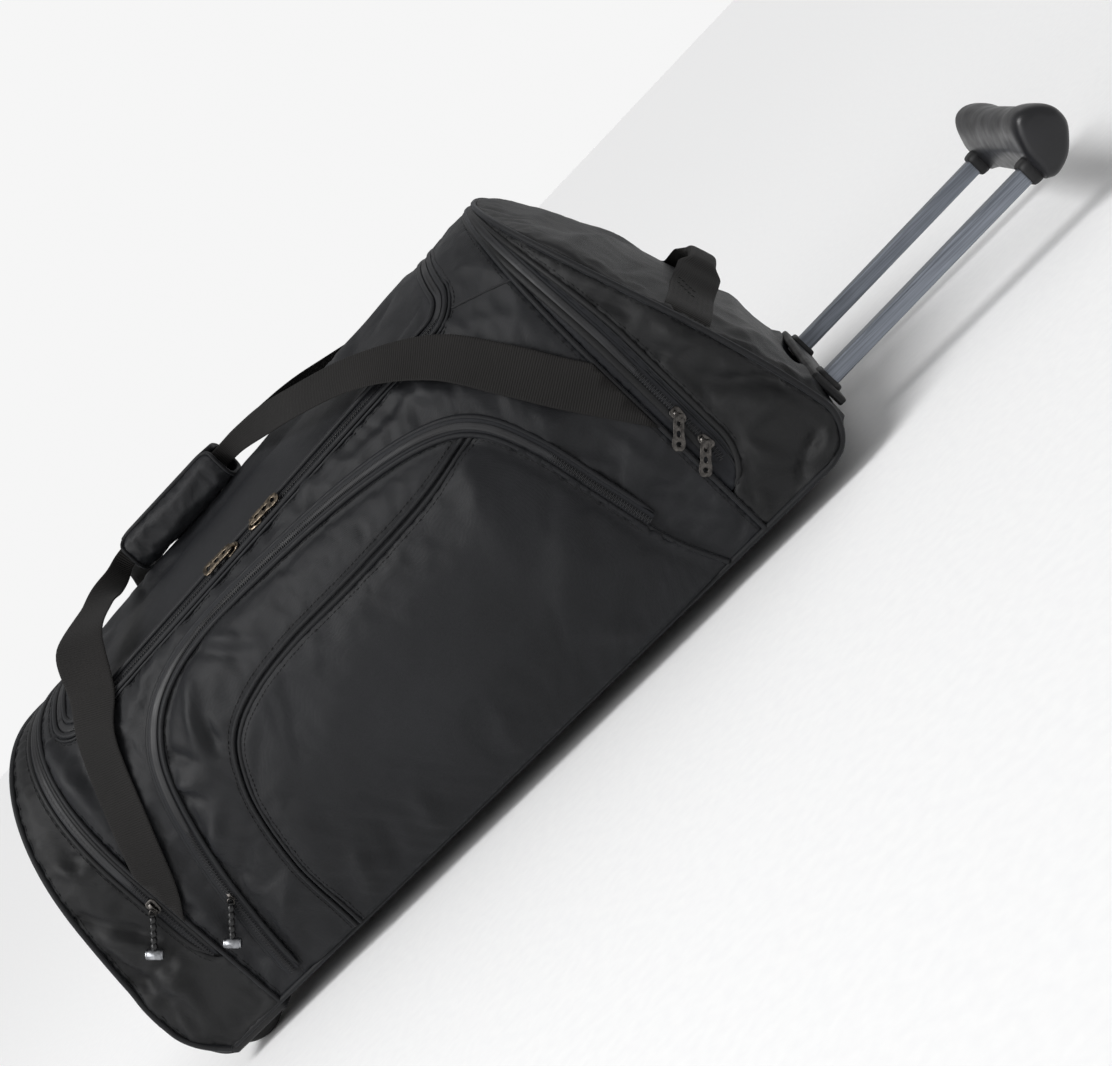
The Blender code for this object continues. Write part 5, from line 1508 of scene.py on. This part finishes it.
def carve(thing, room, along=None):
    """Cuts a box out of a piece; along maps the box's own axes to the bag's."""
    corners = np.array([(a, b, c) for a in room[0] for b in room[1] for c in room[2]])
    corners = (along(corners) if along else corners) + SHIFT
    mesh = bpy.data.meshes.new("room")
    mesh.from_pydata(corners.tolist(), [], BOX_FACES)
    tool = linked("room", mesh)
    fix_normals(tool)
    step = thing.modifiers.new("room", "BOOLEAN")
    step.operation, step.object, step.solver = "DIFFERENCE", tool, "EXACT"
    result = bpy.data.meshes.new_from_object(thing.evaluated_get(bpy.context.evaluated_depsgraph_get()))
    thing.modifiers.clear()
    thing.data = result
    bpy.data.objects.remove(tool)


def build_rail_collars():
    """A moulded lip round each rail, where it leaves the bag and where it enters the grip."""
    collars = (("exit", 0.0022, "bag", 0.0052, 0.0068),
               ("grip", RAIL_END - 0.0085, "trolley_handle", 0.0036, 0.0120))
    for name, y in (("front", -RAIL_Y), ("back", RAIL_Y)):
        for place, at, body, grow, length in collars:
            ring = rounded_loop(0.016 + grow, 0.014 + grow, 0.0045)
            path = on_trolley(columns(at, y + ring[:, 0], ring[:, 1]))
            points, faces = sweep(path, TROLLEY_X, ellipse(0.0038, length, 12), loop=True)
            fix_normals(piece(f"rail_lip_{place}_{name}", points, faces, PLASTIC, body, "plastic"))


# ---- wheels and base ----------------------------------------------------------------------
def turned(half, centre, segments=96, lobes=0, depth=0.0):
    """Half a profile of (radius, y), and its mirror, turned about an axis; lobes press pockets into it."""
    profile = np.array(half + [(radius, -y) for radius, y in reversed(half)])
    rings = []
    for a in circle(segments):
        y = profile[:, 1].copy()
        if lobes:
            zone = ease((profile[:, 0] - 0.0105) / 0.003) * ease((0.0215 - profile[:, 0]) / 0.003)
            y *= 1 - depth * zone * ease(0.5 + 1.6 * math.cos(lobes * a))
        rings.append(columns(profile[:, 0] * math.cos(a), y, profile[:, 0] * math.sin(a)))
    return np.vstack(rings) + centre, tube_faces(segments, len(profile), loop=True)


def build_wheels():
    tyre = [(0.0245, -0.0115), (0.0300, -0.0120), (0.0322, -0.0108), (0.0335, -0.0085), (0.0340, -0.0060),
            (0.0340, -0.0040), (0.0331, -0.0034), (0.0331, -0.0026), (0.0340, -0.0020)]
    hub = [(0.0036, -0.0135), (0.0080, -0.0135), (0.0086, -0.0125), (0.0098, -0.0100), (0.0120, -0.0090),
           (0.0150, -0.0090), (0.0180, -0.0090), (0.0205, -0.0092), (0.0222, -0.0105), (0.0243, -0.0110)]
    for name in ("front", "back"):
        low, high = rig.box(f"wheel_tyre_{name}")
        centre = np.array((low + high) / 2)
        for part, half, material, slot, lobes in (("tyre", tyre, RUBBER, "tyre", 0),
                                                  ("hub", hub, PLASTIC, "plastic", 6)):
            points, faces = turned(half, centre, lobes=lobes, depth=0.45)
            fix_normals(piece(f"wheel_{part}_{name}_turned", points, faces, material, f"wheel_{name}", slot,
                              (f"wheel_{part}_{name}",), placed=True))


def build_housings():
    """The wheel housings: their outer lower corner is rounded off, and the wheel well is open."""
    for name in ("front", "back"):
        low, high = (np.array(corner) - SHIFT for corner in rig.box(f"wheel_housing_{name}"))
        profile = curve_through([(low[0] + 0.0290, low[2]), (low[0] + 0.0195, low[2] + 0.0080),
                                 (low[0] + 0.0105, low[2] + 0.0240), (low[0] + 0.0030, low[2] + 0.0450),
                                 (low[0], low[2] + 0.0620), (low[0] + 0.0004, high[2] - 0.006)], 6)
        profile = np.vstack([profile, [(low[0] + 0.005, high[2]), (high[0], high[2]), (high[0], low[2])]])
        inset = np.array([0.0, 0.0012, 0.0030])
        stops = np.concatenate([low[1] + inset, high[1] - inset[::-1]])
        middle = profile.mean(axis=0)
        rings = []
        for y, size in zip(stops, (0.955, 0.985, 1.0, 1.0, 0.985, 0.955)):
            ring = middle + (profile - middle) * size
            rings.append(columns(ring[:, 0], y, ring[:, 1]))
        housing = piece(f"wheel_guard_{name}", np.vstack(rings), tube_faces(len(rings), len(profile)), PLASTIC,
                        None, "plastic", (f"wheel_housing_{name}",))
        fix_normals(housing)
        wheel_low, wheel_high = (np.array(corner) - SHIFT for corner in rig.box(f"wheel_tyre_{name}"))
        room, fit = 0.0045, 0.0003
        carve(housing, ((low[0] - 0.02, high[0] - 0.0035), (wheel_low[1] - room, wheel_high[1] + room),
                        (-0.02, high[2] - 0.008)))
        axle_low, axle_high = (np.array(corner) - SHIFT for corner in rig.box(f"axle_{name}"))
        carve(housing, ((axle_low[0] - fit, axle_high[0] + fit), (axle_low[1] - 0.02, axle_high[1] + 0.02),
                        (axle_low[2] - fit, axle_high[2] + fit)))
        housing.data.set_sharp_from_angle(angle=math.radians(40))
        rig.ride(housing, "bag")


def dress_cad_nodes():
    """Materials for the CAD pieces that show as they are."""
    chosen = {PLASTIC: ("tube_anchor", "rail_bezel", "kick_plate",
                        "base_runner_front", "base_runner_back", "rail_shoe_front", "rail_shoe_back"),
              STEEL: ("outer_tube_front", "outer_tube_back", "push_rod_front", "push_rod_back", "lock_pin_front",
                      "lock_pin_back", "axle_front", "axle_back"),
              ANODISED: ("inner_rail_front", "inner_rail_back"), BOARD: ("base_board", "false_floor")}
    for material, names in chosen.items():
        for name in names:
            mesh = frame["nodes"][name].data
            mesh.materials.clear()
            mesh.materials.append(material)


# ---- camera, floor and light --------------------------------------------------------------
def build_stage():
    scene = bpy.context.scene
    lens = bpy.data.cameras.new("camera")
    lens.sensor_width = 36.0
    lens.lens = 56.04
    lens.clip_start, lens.clip_end = 0.05, 50.0
    camera = linked("camera", lens)
    right = Vector((0.6919, 0.0315, -0.7213)).normalized()
    ahead = Vector((-0.1955, 0.9699, -0.1452)).normalized()
    up = right.cross(ahead).normalized()
    turn = Matrix((right, up, -ahead)).transposed().to_4x4()
    camera.matrix_world = Matrix.Translation(Vector((0.4108, -1.4353, 0.3199)) + Vector(SHIFT)) @ turn
    scene.camera = camera

    material, tree, shader = new_material("floor_paper")
    speckle = ramp(tree, noise_at(tree, 120.0), 0.0, 1.0)
    feed(tree, shader, {"Base Color": tinted(tree, speckle, (0.86, 0.86, 0.865), (0.89, 0.89, 0.89)),
                        "Roughness": 0.9})
    mesh = bpy.data.meshes.new("floor")
    mesh.from_pydata([(-30, -30, 0), (30, -30, 0), (30, 30, 0), (-30, 30, 0)], [], [(0, 1, 2, 3)])
    mesh.materials.append(material)
    floor = linked("floor", mesh)
    floor.location.z = -0.0004
    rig.stage(floor)

    world = bpy.data.worlds.new("studio")
    scene.world = world
    world.use_nodes = True
    tree = world.node_tree
    seen = node(tree, "ShaderNodeLightPath").outputs["Is Camera Ray"]
    feed(tree, tree.nodes["Background"], {"Strength": ramp(tree, seen, 0.40, 0.92, 0.0, 1.0),
                                          "Color": (1.0, 1.0, 1.0, 1.0)})
    for name, place, power, angle in (("key", (-0.42, -0.42, 0.80), 1.95, 28.0),
                                      ("rim", (0.55, 0.60, 0.58), 0.30, 50.0)):
        light = bpy.data.lights.new(name, "SUN")
        light.energy = power
        light.angle = math.radians(angle)
        lamp = linked(name, light)
        lamp.rotation_mode = "QUATERNION"
        lamp.rotation_quaternion = Vector(place).to_track_quat("Z", "Y")
    light = bpy.data.lights.new("softbox", "AREA")
    light.shape = "RECTANGLE"
    light.size, light.size_y = 1.6, 0.7
    light.energy = 13.0
    lamp = linked("softbox", light)
    lamp.location = (-1.3, -1.5, 0.9)
    lamp.rotation_mode = "QUATERNION"
    lamp.rotation_quaternion = (Vector(lamp.location) - Vector((0.0, 0.0, 0.15))).to_track_quat("Z", "Y")
    scene.view_settings.view_transform = "Standard"


def stitch_all(shell, pocket, handle, wheel):
    """Top stitching beside the seams and hems."""
    handle_side, handle_seam, handle_outer, handle_inner = handle
    wheel_side, wheel_seam, wheel_outer, wheel_inner = wheel
    stitching("stitch_handle_seam", handle_seam - [0.0052, 0], shell)
    stitching("stitch_wheel_seam", wheel_seam + [0.0048, 0], shell)
    stitching("stitch_handle_pocket", beside(handle_inner[20:-20], -0.0042), handle_side)
    stitching("stitch_wheel_pocket", beside(wheel_inner[20:-20], 0.0042), wheel_side)
    stitching("stitch_handle_rim", handle_outer[10:-10] - [0.0050, 0], handle_side)
    stitching("stitch_wheel_rim", wheel_outer[10:-10] + [0.0050, 0], wheel_side)
    stitching("stitch_main_zip", beside(LID_ZIP, -0.0140), shell)
    stitching("stitch_pocket_arch", beside(pocket_zip_path(), -0.0095), pocket, pocket_place)
    stitching("stitch_padded_panel", beside(INNER_ARCH, 0.0072), pocket, pocket_place)
    stitching("stitch_padded_panel_inside", beside(INNER_ARCH, -0.0072), pocket, pocket_place)


def build_everything():
    build_stage()
    shell = build_body()
    pocket = build_pocket()
    handle = build_handle_end()
    wheel = build_wheel_end()
    build_partitions()
    wrap = build_wrap()
    Panel.settle_all()
    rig.padded(wrap.thing, fill=0.6)
    build_base_edges()
    build_lid_zip()
    build_straps()
    build_grab_handle()
    build_zip_furniture()
    build_grip()
    build_button()
    build_rail_collars()
    build_wheels()
    build_housings()
    dress_cad_nodes()
    stitch_all(shell, pocket, handle, wheel)


build_everything()
new_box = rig.bounds()
with open("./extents.json", "w") as size_file:
    json.dump({"cad": [list(corner) for corner in CAD_BOX], "visual": [list(corner) for corner in new_box]}, size_file)
